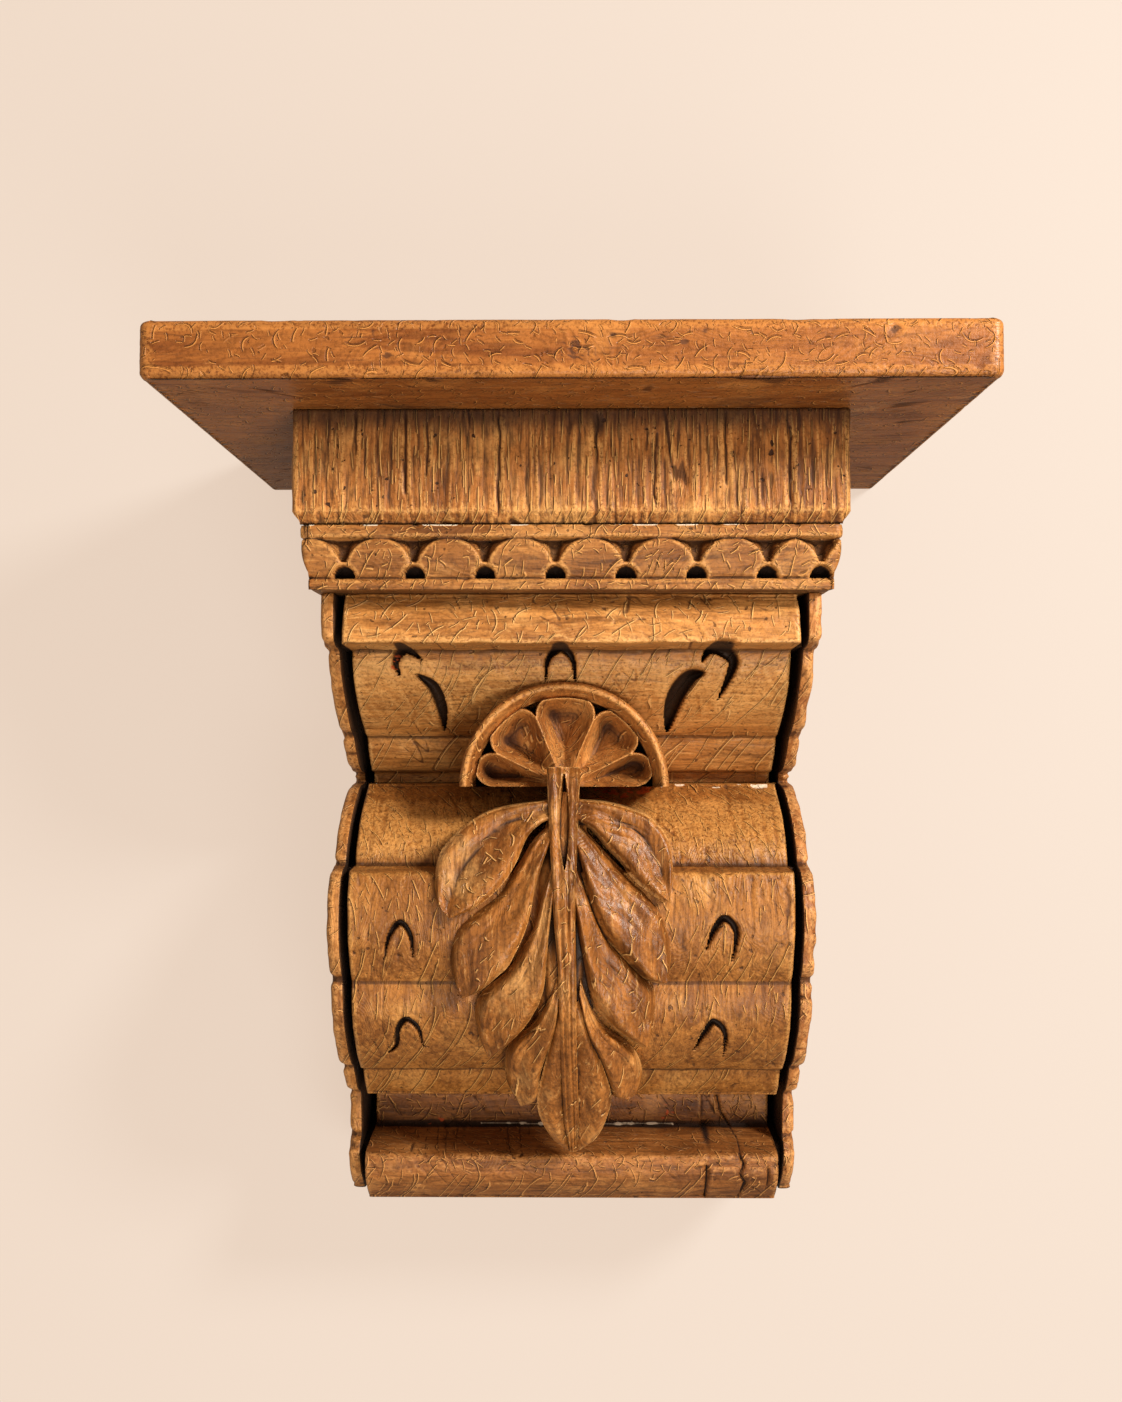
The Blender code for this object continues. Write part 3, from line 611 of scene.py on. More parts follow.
def egg_relief(run, level, half, top, foot):
    """How far in the carving goes, and the painted shade in its pockets and holes, at a place along
    the course.
    """
    places = EGG_FIRST_HOLE + EGG_PITCH * np.arange(EGG_FRONT_HOLES)
    beside = half + places[:EGG_SIDE_HOLES]
    holes = np.sort(np.concatenate([places - half, [half - EGG_LAST_HOLE], beside, -beside]))
    nearest = holes[np.abs(run[..., None] - holes).argmin(axis=-1)]
    wobble = smooth_noise(upright(nearest, 0.0), (0.01, 0.01, 0.01), 4)
    away = np.abs(run - nearest) * (1 + 0.04 * wobble)
    crown = top - EGG_TOP_FILLET - 0.0003
    from_egg = np.clip(EGG_PITCH / 2 - away, 0, EGG_RADIUS)
    fall = EGG_RADIUS - np.sqrt(EGG_RADIUS ** 2 - from_egg ** 2)
    brink = crown - np.minimum(fall, EGG_ARCH_RISE)
    inside = ease(level - brink, 0.0, 0.0013) * ease(crown + 0.0004 - level, 0.0, 0.0006)
    pocket = EGG_POCKET_DEPTH * inside * (0.35 + 0.65 * ease(level - brink, 0.0, 0.0070))
    edge_near = np.clip((brink - level) / 0.0045, 0, 1)
    dome = EGG_DOME * np.sqrt(edge_near) * ease(away, 0.0010, 0.0070)
    dome *= ease(level - foot, 0.0, 0.0040)
    sill = foot + 0.0004
    arch = np.sqrt(np.clip(1 - (2 * away / EGG_HOLE_WIDTH) ** 2, 0, 1))
    roof = sill + EGG_HOLE_HEIGHT * (0.06 + 0.94 * arch)
    within = ease(EGG_HOLE_WIDTH / 2 - away, -0.0001, 0.0006)
    within *= ease(level - sill, -0.0003, 0.0003) * ease(roof - level, -0.0003, 0.0005)
    hole = EGG_HOLE_DEPTH * within
    return pocket + hole - dome, 0.30 * inside * ease(level - brink, 0.004, 0.010) + 1.3 * within


def build_eggs():
    low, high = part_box("egg_course")
    points, ways, run, shown = three_sides(high.x, -low.y, EGG_CORNER, EGG_STEP)
    field_top = high.z - EGG_TOP_FILLET
    field_foot = low.z + EGG_FOOT_FILLET
    levels = polyline([
        (0, high.z), (0, field_top + EGG_LIP / 2), (0, field_top - EGG_LIP / 2),
        (0, field_foot + 0.0001), (0, field_foot - EGG_LIP / 2), (0, low.z),
    ], EGG_ROW_STEP)[:, 1]
    place, level = np.meshgrid(run, levels)
    along = np.clip((field_top - level) / (field_top - field_foot), 0, 1)
    base = EGG_LIP + EGG_TAPER * along - 4 * EGG_BULGE * along * (1 - along)
    base = np.where(level > field_top, 0.0, np.where(level < field_foot, EGG_TAPER, base))
    carved, dark = egg_relief(place, level, high.x, high.z, field_foot)
    flat = upright(place, level)
    swell = smooth_noise(flat, (0.014, 1, 0.012), 3, 2)
    fibre = smooth_noise(flat, (0.012, 1, 0.0015), 6, 2)
    chip = ease(smooth_noise(flat, (0.007, 1, 0.005), 8, 2), 0.35, 0.8)
    arris = peak(level, high.z, 0.0012) + peak(level, low.z, 0.0012)
    arris += peak(level, field_top, 0.0010) + peak(level, field_foot, 0.0009)
    notch = peak(place, 0.0005 - high.x, 0.0022)
    notch *= ease(level, field_top - 0.005, field_top - 0.002)
    sink = carved + 0.00025 * (1 + swell) + 0.00011 * fibre + 0.0004 * arris
    sink += 0.0008 * chip * np.clip(arris, 0, 1) + 0.0022 * notch
    setback = base + np.maximum(sink, 0.0) * shown
    setback = np.where(level > high.z - 0.0001, np.maximum(setback, 0.0002), setback)
    grid = raised(points, ways, levels, setback)
    filler = peak(level, high.z, 0.0006) * (np.abs(place) < high.x) * shown
    # Painted shade: the deep value darkens the pockets, the holes and the wider hollows.
    return wrapped(
        "eggs", grid, hollow=side_hollows(grid, ways, shown, 2, 0.00050),
        deep=np.clip(dark, 0, 1.3) * shown + 0.25 * side_hollows(grid, ways, shown, 5, 0.002),
        filler=filler * ease(smooth_noise(flat, (0.012, 1, 1), 21, 3), 0.00, 0.35),
    )


finished(
    build_eggs(),
    old_wood(
        "egg_wood", "X", (40, 17, 4), (120, 71, 29), (166, 106, 50), (230, 168, 96),
        marks=0.9, size=0.55,
    ),
    "carved_wood", "egg_course",
)


# The upper scroll is one block: a roll, a deep cove, a fillet and the neck, shaped with planes
# and gouges across the block and then cut with five gouge strokes. The half rosette is carved
# from the same block, so its two meshes stand for one piece.
FACE_HALF = 0.108
FACE_ROUND = 0.0016
GROOVE_DEPTH = 0.022
SCROLL_STEP = 0.00074
STEP_DROP = 0.0012
CUT_END_DARKENING = 0.2
Band = namedtuple("Band", "height top bottom bulge cheek_top cheek_bottom cheek_bulge")
UPPER_BANDS = (
    Band(0.0245, 0.1730, 0.1830, 0.0030, -0.0040, 0.0060, 0.0010),
    Band(0.0420, 0.1530, 0.1080, 0.0110, -0.0080, -0.0150, 0.0050),
    Band(0.0195, 0.1020, 0.0860, 0.0020, -0.0140, -0.0080, 0.0020),
    Band(0.0065, 0.0770, 0.0760, 0.0, -0.0020, -0.0020, 0.0),
)
Stroke = namedtuple("Stroke", "width depth points")
UPPER_CUTS = (
    Stroke(0.0040, 0.0060,
           ((-0.0850, 0.0640), (-0.0864, 0.0722), (-0.0812, 0.0768), (-0.0738, 0.0726))),
    Stroke(0.0062, 0.0100,
           ((-0.0762, 0.0654), (-0.0688, 0.0594), (-0.0658, 0.0492), (-0.0661, 0.0380))),
    Stroke(0.0036, 0.0080,
           ((-0.0124, 0.0620), (-0.0116, 0.0722), (-0.0055, 0.0774), (0.0006, 0.0728),
            (0.0021, 0.0605))),
    Stroke(0.0056, 0.0095,
           ((0.0645, 0.0718), (0.0682, 0.0768), (0.0738, 0.0768), (0.0798, 0.0724),
            (0.0786, 0.0650), (0.0738, 0.0530))),
    Stroke(0.0096, 0.0125,
           ((0.0656, 0.0660), (0.0590, 0.0640), (0.0535, 0.0565), (0.0510, 0.0480),
            (0.0500, 0.0372))),
)


def band_profile(bands, top, cheek=False, below_another=False):
    """Height and stand-out down the face of a stack of bands, or down the cheek's edge."""
    rows = []
    level = top
    for band in bands:
        start, end, bulge = band.top, band.bottom, band.bulge
        if cheek:
            start, end, bulge = start - band.cheek_top, end - band.cheek_bottom, band.cheek_bulge
        first = level - STEP_DROP if rows or below_another else level
        level -= band.height
        for along in np.linspace(0, 1, 25):
            out = start + (end - start) * along + 4 * bulge * along * (1 - along)
            rows.append((first + (level - first) * along, out))
    return rows


def curve_through(points, steps=9):
    """A smooth curve through a few points, as a finer list of them."""
    points = np.array(points, float)
    padded = np.concatenate([2 * points[:1] - points[1:2], points, 2 * points[-1:] - points[-2:-1]])
    along = np.linspace(0, 1, steps, endpoint=False)[:, None]
    runs = []
    for before, start, end, after in zip(padded, padded[1:], padded[2:], padded[3:]):
        bend = 2 * before - 5 * start + 4 * end - after
        twist = 3 * start - before - 3 * end + after
        runs.append(0.5 * (2 * start + (end - before) * along + bend * along ** 2
                           + twist * along ** 3))
    return np.concatenate([*runs, points[-1:]])


def stroke_cut(across, level, stroke):
    """A gouge stroke along a curve, widest in its middle: how deep, and 1 inside it."""
    curve = curve_through(stroke.points)
    share = np.full(across.shape, 9.0)
    for place, (x, z) in zip(np.linspace(0.02, 0.98, len(curve)), curve):
        half = stroke.width / 2 * math.sin(math.pi * place) ** 0.7
        share = np.minimum(share, np.hypot(across - x, level - z) / half)
    bowl = np.sqrt(np.clip(1 - share ** 2, 0, 1))
    return stroke.depth * bowl ** 0.7, ease(-share, -1.15, -0.75)


def carve_strokes(across, level, strokes):
    """The deepest of several strokes at each place, and 1 inside any of them."""
    depth = np.zeros_like(across)
    inside = np.zeros_like(across)
    for stroke in strokes:
        cut, within = stroke_cut(across, level, stroke)
        depth = np.maximum(depth, cut)
        inside = np.maximum(inside, within)
    return depth, inside


def scroll_grid(bands, node, relief):
    """A block of the scroll as rings from its top to its foot, its face cut by relief."""
    low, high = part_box(node)
    rows = polyline(band_profile(bands, high.z), SCROLL_STEP)
    count = int(2 * (FACE_HALF - FACE_ROUND) / SCROLL_STEP)
    edge = FACE_HALF - FACE_ROUND + FACE_ROUND * np.sin(np.radians([30, 60, 90]))
    face = np.concatenate([
        -edge[::-1], np.linspace(-FACE_HALF + FACE_ROUND, FACE_HALF - FACE_ROUND, count), edge,
    ])
    over = np.clip((np.abs(face) - FACE_HALF + FACE_ROUND) / FACE_ROUND, 0, 1)
    rounded = FACE_ROUND * (1 - np.sqrt(1 - over ** 2))
    soft, softer = (blur(rows, reach, 0) for reach in (1, 3))
    for eased in (soft, softer):
        eased[[0, -1]] = rows[[0, -1]]
    across = np.tile(face, (len(rows), 1))
    seed = len(bands) + int(abs(high.z) * 1000)
    worn = smooth_noise(upright(across, rows[:, :1]), (0.018, 1, 0.012), seed, 2)
    worn = ease(worn, -0.35, 0.55)[:, :, None]
    profile = soft[:, None] * (1 - worn) + softer[:, None] * worn
    tangent = np.gradient(softer, axis=0)
    tangent /= np.maximum(np.linalg.norm(tangent, axis=1, keepdims=True), 1e-9)
    face_way = np.column_stack([tangent[:, 1], -tangent[:, 0]])[:, None]
    level = profile[:, :, 0]
    out = profile[:, :, 1]
    curve = np.linalg.norm(softer - rows, axis=1)
    arris = ease(curve, 0.0002, 0.0012)[:, None] * np.ones(len(face))
    crease = ease(np.sum((softer - rows) * face_way[:, 0], axis=1), 0.00010, 0.00045)
    sink, straight, values = relief(across, level, arris)
    # Painted shade: the creases where the bands step in are darkened.
    values["dark"] = np.maximum(values["dark"], 0.55 * crease[:, None])
    fixed = np.ones(len(rows))
    fixed[[0, -1]] = 0.0
    fixed[[1, -2]] = 0.5
    sink = sink * fixed[:, None]
    points = np.zeros((*across.shape, 3))
    points[:, :, 0] = across * (1 - 0.004 * fixed[:, None] * over * worn[:, :, 0])
    points[:, :, 1] = -(out - rounded - sink * face_way[:, :, 1] - straight * fixed[:, None])
    points[:, :, 2] = level - sink * face_way[:, :, 0]
    points[0, :, 2], points[-1, :, 2] = high.z, low.z
    return rows, points, values, high.x


def tube_from_face(name, rows, points, core, values):
    """Adds the groove walls, the core and the back to a face, all in full painted shade, and closes
    it at its cut ends.
    """
    back = rows[:, 1] - GROOVE_DEPTH
    count = len(rows)

    def column(x, out):
        return np.stack([np.full(count, x), -np.asarray(out) * np.ones(count), rows[:, 0]], 1)

    left = [column(-core, 0.0), column(-core, 0.5 * back), column(-core, back)]
    left += [column(-FACE_HALF, back + GROOVE_DEPTH * share) for share in (0.0, 0.35, 0.7, 0.88)]
    left = np.stack(left, 1)
    grid = np.concatenate([left, points, left[:, ::-1] * np.array([-1.0, 1.0, 1.0])], axis=1)
    pad = ((0, 0), (left.shape[1],) * 2)
    made = {label: np.pad(value, pad, mode="edge") for label, value in values.items()}
    # Painted shade: the groove walls, the core and the back are made fully dark.
    shade = np.pad(np.zeros(points.shape[:2]), pad, constant_values=1.0)
    made["deep"] = np.maximum(made["deep"], shade)
    # The cut ends get a small fixed darkening.
    made["deep"][[0, -1]] = CUT_END_DARKENING
    return wrapped(name, grid, **made)


def carved_surface(across, level, arris, seed, grain):
    """Fine relief shared by the carved faces: swells, facets, grain, scratches and chips."""
    flat = upright(across, level)
    slant = upright(across + 0.7 * level, level - 0.7 * across)
    swell = smooth_noise(flat, (0.030, 1, 0.020), seed, 2)
    facet = smooth_noise(slant, (0.0065, 1, 0.030), seed + 3)
    run = (0.016, 1, 0.0016) if grain == "X" else (0.0016, 1, 0.016)
    fibre = smooth_noise(flat, run, seed + 5, 2)
    scratch = 1 - ease(np.abs(smooth_noise(slant, (0.010, 1, 0.045), seed + 7)), 0.0, 0.055)
    scratch *= ease(smooth_noise(flat, (0.020, 1, 0.020), seed + 9), 0.05, 0.45)
    pit = ease(smooth_noise(flat, (0.0035, 1, 0.0030), seed + 11), 0.62, 0.95)
    chip = ease(smooth_noise(flat, (0.008, 1, 0.008), seed + 13, 2), 0.30, 0.75)
    sink = 0.00045 * (1 + swell) + 0.00030 * np.abs(facet) + 0.00011 * fibre
    sink += 0.00035 * scratch + 0.0007 * pit + 0.0014 * chip * arris
    return sink, scratch


def shading(points, small, large, cut=None):
    """The hollow and deep values of a carved face, with no worn ridge round a cut."""
    normal = facing(points)
    normal *= -np.sign(normal[:, :, 1:2].mean())
    hollow = scaled(hollow_of(points, normal, 2), small)
    if cut is not None:
        hollow *= 1 - ease(blur(blur(cut, 2, 0), 2, 1), 0.01, 0.15)
    # The deep value marks the wide hollows, for painted shade.
    deep = scaled(hollow_of(points, normal, 9), large)
    return hollow, np.clip(deep, 0, 1)


def scroll_block(name, node, bands, relief, large, share):
    """A block of the scroll, from its bands and from what its relief says of each place."""
    rows, points, values, core = scroll_grid(bands, node, relief)
    hollow, deep = shading(points, 0.00030, large, values["dark"])
    # A band's painted light lowers its hollow value, which makes it lighter.
    hollow = hollow + 0.5 * values.pop("scratch") - values.pop("worn", 0.0)
    values["hollow"] = np.clip(hollow, -1, 1)
    # Painted shade: the deep value darkens the wide hollows and the insides of the cuts, cracks and
    # creases.
    values["deep"] = np.clip(share * deep + 1.05 * values.pop("dark"), 0, 1.2)
    return tube_from_face(name, rows, points, core, values)


def upper_relief(across, level, arris):
    sink, scratch = carved_surface(across, level, arris, 40, "X")
    # Painted shade: the insides of the gouge strokes are marked dark.
    straight, dark = carve_strokes(across, level, UPPER_CUTS)
    fleck = ease(smooth_noise(upright(across, level), (0.004, 1, 0.002), 61, 2), 0.0, 0.5)
    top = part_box("upper_scroll")[1].z
    # Painted light: the middle and lower part of the cove is made lighter.
    worn = ease(-level, 0.0275 - top, 0.0320 - top) * ease(level, top - 0.0660, top - 0.0600)
    trace = peak(across, -0.0862, 0.0026) * peak(level, 0.0700, 0.0045)
    return sink, straight, {
        "dark": dark, "scratch": scratch, "worn": 0.55 * worn, "paint": 1.5 * trace * fleck,
    }


finished(
    scroll_block("upper", "upper_scroll", UPPER_BANDS, upper_relief, 0.0060, 0.45),
    old_wood(
        "upper_wood", "X", (52, 23, 6), (156, 98, 45), (206, 140, 72), (246, 190, 118),
        gloss=0.46, lean=0.5, spread=0.9,
    ),
    "carved_wood", "upper_scroll",
)

ROSETTE_RADIUS = 0.0516
ROSETTE_FACE = 0.151
ROSETTE_ROOT = 0.060
ROSETTE_X = -0.0035
ROSETTE_RIM = 0.0075
ROSETTE_POCKET = 0.0170
PETAL_EDGES = (0, 26, 66, 112, 154, 180)
PETAL_HOLLOW = 0.0140
PETAL_SET_IN = 0.0030
PETAL_ROUND = 0.0100
PETAL_SHOULDER = 0.55


def rosette_depth(reach, degrees):
    """How far in the rosette is carved, and the painted shade in its pockets, at each distance and
    angle.
    """
    edges = np.array(PETAL_EDGES, float)
    petal = np.clip(np.searchsorted(edges, degrees, side="right") - 1, 0, len(edges) - 2)
    spread = np.radians(edges[petal + 1] - edges[petal]) / 2
    turn = np.radians(degrees - (edges[petal] + edges[petal + 1]) / 2)
    inner = ROSETTE_RADIUS - ROSETTE_RIM
    along = reach * np.cos(turn)
    to_wedge = reach * np.sin(spread - np.abs(turn))
    to_rim = inner + 0.0004 - reach
    near_wedge = np.clip(PETAL_ROUND - to_wedge, 0, None)
    near_rim = np.clip(PETAL_ROUND - to_rim, 0, None)
    rounded = PETAL_ROUND - np.hypot(near_wedge, near_rim)
    within = np.where(along > inner * PETAL_SHOULDER, rounded, to_wedge)
    deepest = 0.6 * inner * np.sin(spread)
    spoon = np.sin(math.pi / 2 * np.clip(within / (0.95 * deepest), 0, 1))
    spoon *= ease(reach, 0.002, 0.026)
    tilt = 1 + 0.30 * np.sin(turn / np.maximum(spread, 0.01) * 1.4)
    field = PETAL_HOLLOW * spoon * tilt
    pocket = ROSETTE_POCKET * ease(-within, 0.0, 0.0016) * (along > inner * PETAL_SHOULDER)
    open_field = reach < inner
    ripple = 0.00016 * np.sin(within * 3400 + 2 * np.abs(turn)) * spoon
    carved = np.maximum(field, pocket) + ripple + PETAL_SET_IN
    across_rim = np.clip((reach - inner) / ROSETTE_RIM, 0, 1)
    rim = 0.0022 * np.clip((across_rim - 0.72) / 0.28, 0, 1) ** 2
    rim += 0.0090 * np.clip((0.58 - across_rim) / 0.58, 0, 1)
    return np.where(open_field, carved, rim), 0.9 * open_field * pocket / ROSETTE_POCKET


def build_rosette():
    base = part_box("upper_scroll")[0].z
    angles = np.linspace(0, 180, 241)
    reach = np.concatenate([
        np.linspace(0.0004, ROSETTE_RADIUS - ROSETTE_RIM - 0.0003, 74),
        ROSETTE_RADIUS - ROSETTE_RIM * (1 + np.cos(np.radians(np.linspace(0, 180, 17)))) / 2,
    ])
    far, turn = np.meshgrid(reach, angles)
    depth, dark = rosette_depth(far, turn)
    x = ROSETTE_X + far * np.cos(np.radians(turn))
    z = base + far * np.sin(np.radians(turn))
    flat = upright(x, z)
    rough = smooth_noise(flat, (0.006, 1, 0.006), 71, 3)
    chip = ease(smooth_noise(flat, (0.005, 1, 0.005), 73, 2), 0.45, 0.85)
    depth = depth + 0.00022 * (1 + rough) + 0.0006 * chip * (far > ROSETTE_RADIUS - ROSETTE_RIM)
    face = np.stack([x, -(ROSETTE_FACE - depth), z], -1)
    hollow, deep = shading(face, 0.00060, 0.0030)
    rim = face[:, -1:]
    share = np.linspace(0, 1, 30)[None, 1:, None]
    side = rim * (1 - share) + (rim * (1, 0, 1) - (0, ROSETTE_ROOT, 0)) * share
    wobble = smooth_noise(side, (0.010, 0.020, 0.010), 77, 2)
    inward = (side - (ROSETTE_X, 0, base)) * (1, 0, 1)
    side = side - inward * (0.008 * (1 + wobble))[:, :, None]
    grid = np.concatenate([face, side], axis=1).transpose(1, 0, 2)
    pad = ((0, 0), (0, side.shape[1]))
    # Painted shade: the deep value darkens the wide hollows and the pockets, and the sides get a
    # fixed darkening.
    return wrapped(
        "rosette", grid, hollow=np.pad(hollow, pad).T,
        deep=np.pad(np.clip(deep * 0.80 + dark, 0, 1.2), pad, constant_values=0.25).T,
    )


finished(
    build_rosette(),
    old_wood(
        "rosette_wood", "Z", (50, 22, 6), (136, 81, 35), (184, 118, 56), (232, 170, 98),
        marks=0.7, streaks=0.55, size=0.5,
    ),
    "carved_wood", "upper_scroll",
)


# The belly is the widest block of the scroll, four rounded bands stepped out and in again,
# with its grain upright on the two wide bands. Each of those has a thumbnail cut on each side
# of the leaf. Pale filler and red paint are left in the joint above it.
BELLY_BANDS = (
    Band(0.0392, 0.0960, 0.1390, 0.0100, 0.0, 0.0, 0.0090),
    Band(0.0553, 0.1585, 0.1500, 0.0085, 0.0080, 0.0020, 0.0100),
    Band(0.0505, 0.1490, 0.1190, 0.0100, 0.0020, 0.0030, 0.0085),
    Band(0.0180, 0.1120, 0.0970, 0.0020, 0.0010, 0.0010, 0.0010),
)
BELLY_FILLER = (0.040, 0.104)
BELLY_PAINT = (0.012, 0.042)
# Each crack: its place across, its start below the top, its length and its seed.
BELLY_CRACKS = (
    (0.087, 0.040, 0.055, 3), (0.064, 0.094, 0.040, 5), (-0.062, 0.040, 0.030, 7),
    (-0.092, 0.095, 0.045, 9), (0.098, 0.094, 0.048, 11), (-0.101, 0.006, 0.030, 13),
)
BELLY_CUTS = (
    Stroke(0.0031, 0.0050, ((-0.0906, -0.0735), (-0.0882, -0.0622), (-0.0826, -0.0552),
                            (-0.0778, -0.0612), (-0.0764, -0.0735))),
    Stroke(0.0031, 0.0050, ((-0.0925, -0.1256), (-0.0874, -0.1196), (-0.0858, -0.1100),
                            (-0.0812, -0.1048), (-0.0758, -0.1096), (-0.0738, -0.1200))),
    Stroke(0.0038, 0.0060, ((0.0655, -0.0685), (0.0690, -0.0585), (0.0743, -0.0530),
                            (0.0797, -0.0600), (0.0782, -0.0745))),
    Stroke(0.0034, 0.0055, ((0.0608, -0.1232), (0.0662, -0.1118), (0.0702, -0.1060),
                            (0.0760, -0.1118), (0.0766, -0.1262))),
)


def belly_relief(across, level, arris):
    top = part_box("belly")[1].z
    sink, scratch = carved_surface(across, level, arris, 90, "X")
    upright_sink, _ = carved_surface(across, level, arris, 97, "Z")
    band_b = ease(-level, -(top - 0.0385), -(top - 0.0400))
    sink = sink * (1 - band_b) + upright_sink * band_b
    # Painted shade: the insides of the strokes and the cracks are marked dark.
    straight, dark = carve_strokes(across, level, BELLY_CUTS)
    for place, start, length, seed in BELLY_CRACKS:
        line = crack(across, level, place, top - start, top - start - length, seed)
        straight = straight + 0.0006 * line
        dark = np.maximum(dark, 0.35 * line)
    flat = upright(across, level)
    streak = ease(smooth_noise(flat, (0.0040, 1, 0.020), 105, 2), 0.1, 0.7)
    fade = ease(level, top - 0.075, top - 0.042) + ease(level, top - 0.125, top - 0.097)
    sink = sink + 0.0003 * streak * np.clip(fade, 0, 1)
    fleck = ease(smooth_noise(flat, (0.005, 1, 0.002), 111, 2), 0.10, 0.45)
    seam = ease(level, top - 0.0025, top - 0.0005) * between(across, *BELLY_FILLER)
    red = ease(level, top - 0.0075, top - 0.0050) * between(across, *BELLY_PAINT)
    # Painted light: the middle of the top band is made lighter.
    worn = ease(-level, 0.0050 - top, 0.0100 - top) * ease(level, top - 0.0390, top - 0.0340)
    return sink, straight, {
        "dark": dark, "scratch": scratch, "worn": 0.85 * worn, "filler": seam * fleck,
        "paint": 2.0 * red * fleck,
    }


finished(
    scroll_block("bands", "belly", BELLY_BANDS, belly_relief, 0.0060, 0.45),
    old_wood(
        "belly_wood", "Z", (48, 21, 5), (130, 78, 31), (176, 114, 52), (224, 164, 92),
        gloss=0.46, streaks=0.95, lean=-0.05, spread=0.5, bend=45.0,
    ),
    "carved_wood", "belly",
)


# The foot is a lower block, darker and more battered than the rest: a recess over a bottom
# roll, with a zigzag crack near its right end and a let-in patch beyond it.
FOOT_BANDS = (
    Band(0.0252, 0.0660, 0.0640, 0.0, -0.0210, -0.0210, 0.0),
    Band(0.0040, 0.0800, 0.1010, 0.0015, -0.0080, 0.0090, 0.0),
    Band(0.0275, 0.1030, 0.0880, 0.0060, 0.0110, 0.0160, 0.0040),
)
# The zigzag crack as heights and places across, and how open it is on its way.
FOOT_CRACK = (
    (-0.1600, 0.0790), (-0.1713, 0.0822), (-0.1780, 0.0858), (-0.1805, 0.0888), (-0.1835, 0.0878),
    (-0.1880, 0.0900), (-0.1930, 0.0880), (-0.1990, 0.0908), (-0.2090, 0.0885),
)
CRACK_LEVELS = (-0.2080, -0.2000, -0.1930, -0.1860, -0.1800)
CRACK_OPENING = (0.2, 1.6, 0.5, 1.1, 0.4)
PATCH_LEFT = 0.0712
PATCH_TOP = -0.1880
FOOT_JOINT = 0.0240
FOOT_FILLER = (-0.050, 0.056)
# Each trace of paint: its place across, its width, its depth below the top and its height.
FOOT_PAINT = ((0.050, 0.0055, 0.0175, 0.0035), (-0.076, 0.0055, 0.0225, 0.0016))


def foot_relief(across, level, arris):
    low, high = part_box("foot")
    sink, scratch = carved_surface(across, level, arris, 130, "X")
    drift = 0.0008 * smooth_noise(upright(0.0, level), (1, 1, 0.004), 3)
    crack_x = np.interp(level, *np.array(FOOT_CRACK[::-1]).T) + drift
    opening = 0.0006 * np.interp(level, CRACK_LEVELS, CRACK_OPENING) + 0.0002
    line = np.maximum(
        peak(across, crack_x, opening),
        crack(across, level, 0.1026, low.z + 0.023, low.z + 0.006, 15),
    )
    line = np.maximum(line, peak(across, 0.0725, 0.0022) * peak(level, -0.1798, 0.0022))
    under_patch = ease(PATCH_TOP - level, 0.0, 0.0015)
    patched = across > PATCH_LEFT
    edge = peak(across, PATCH_LEFT - 0.0004, 0.0006) * under_patch
    seam_line = peak(level, PATCH_TOP, 0.0006) * patched
    line = np.maximum(line, np.maximum(0.9 * edge, 0.35 * seam_line))
    dish = np.exp(-np.clip((PATCH_LEFT - across) / 0.0075, 0, 9) ** 2) * (across < PATCH_LEFT)
    patch = 0.0020 * dish * under_patch + 0.0006 * patched * (1 - under_patch)
    flat = upright(across, level)
    rough = smooth_noise(flat, (0.004, 1, 0.004), 141, 2)
    straight = 0.0036 * line + patch + 0.0002 * patched * (1 + rough)
    fleck = ease(smooth_noise(flat, (0.006, 1, 0.003), 143, 2), 0.0, 0.4)
    seam = peak(level, high.z - FOOT_JOINT, 0.0007) * between(across, *FOOT_FILLER)
    red = sum(peak(across, place, width) * peak(level, high.z - depth, height)
              for place, width, depth, height in FOOT_PAINT)
    # Painted shade: the cracks and the patch's seams are marked dark.
    return sink, straight, {
        "dark": line, "scratch": scratch, "filler": seam * (0.5 + 0.5 * fleck),
        "paint": 1.6 * red * fleck,
    }


finished(
    scroll_block("foot_roll", "foot", FOOT_BANDS, foot_relief, 0.0050, 0.7),
    old_wood(
        "foot_wood", "X", (42, 18, 5), (112, 65, 27), (158, 98, 45), (216, 152, 86),
        gloss=0.54, size=0.7, lean=0.0,
    ),
    "foot_wood", "foot",
)


# The cheeks are two thin sawn boards that close the sides of the scroll. Their front edges
# follow the bands in lobes, the right one more ragged, and a gouged line follows each edge.
CHEEK_ROUND = 0.58
CHEEK_INNER_ROUND = 0.22
CHEEK_NOTCH = 0.0026
CHEEK_LINE = 0.0110
CHEEK_LINE_WIDTH = 0.0036
CHEEK_LINE_DEPTH = 0.0014
CHEEK_BAND = 0.0245
CHEEK_STEP = 0.00120


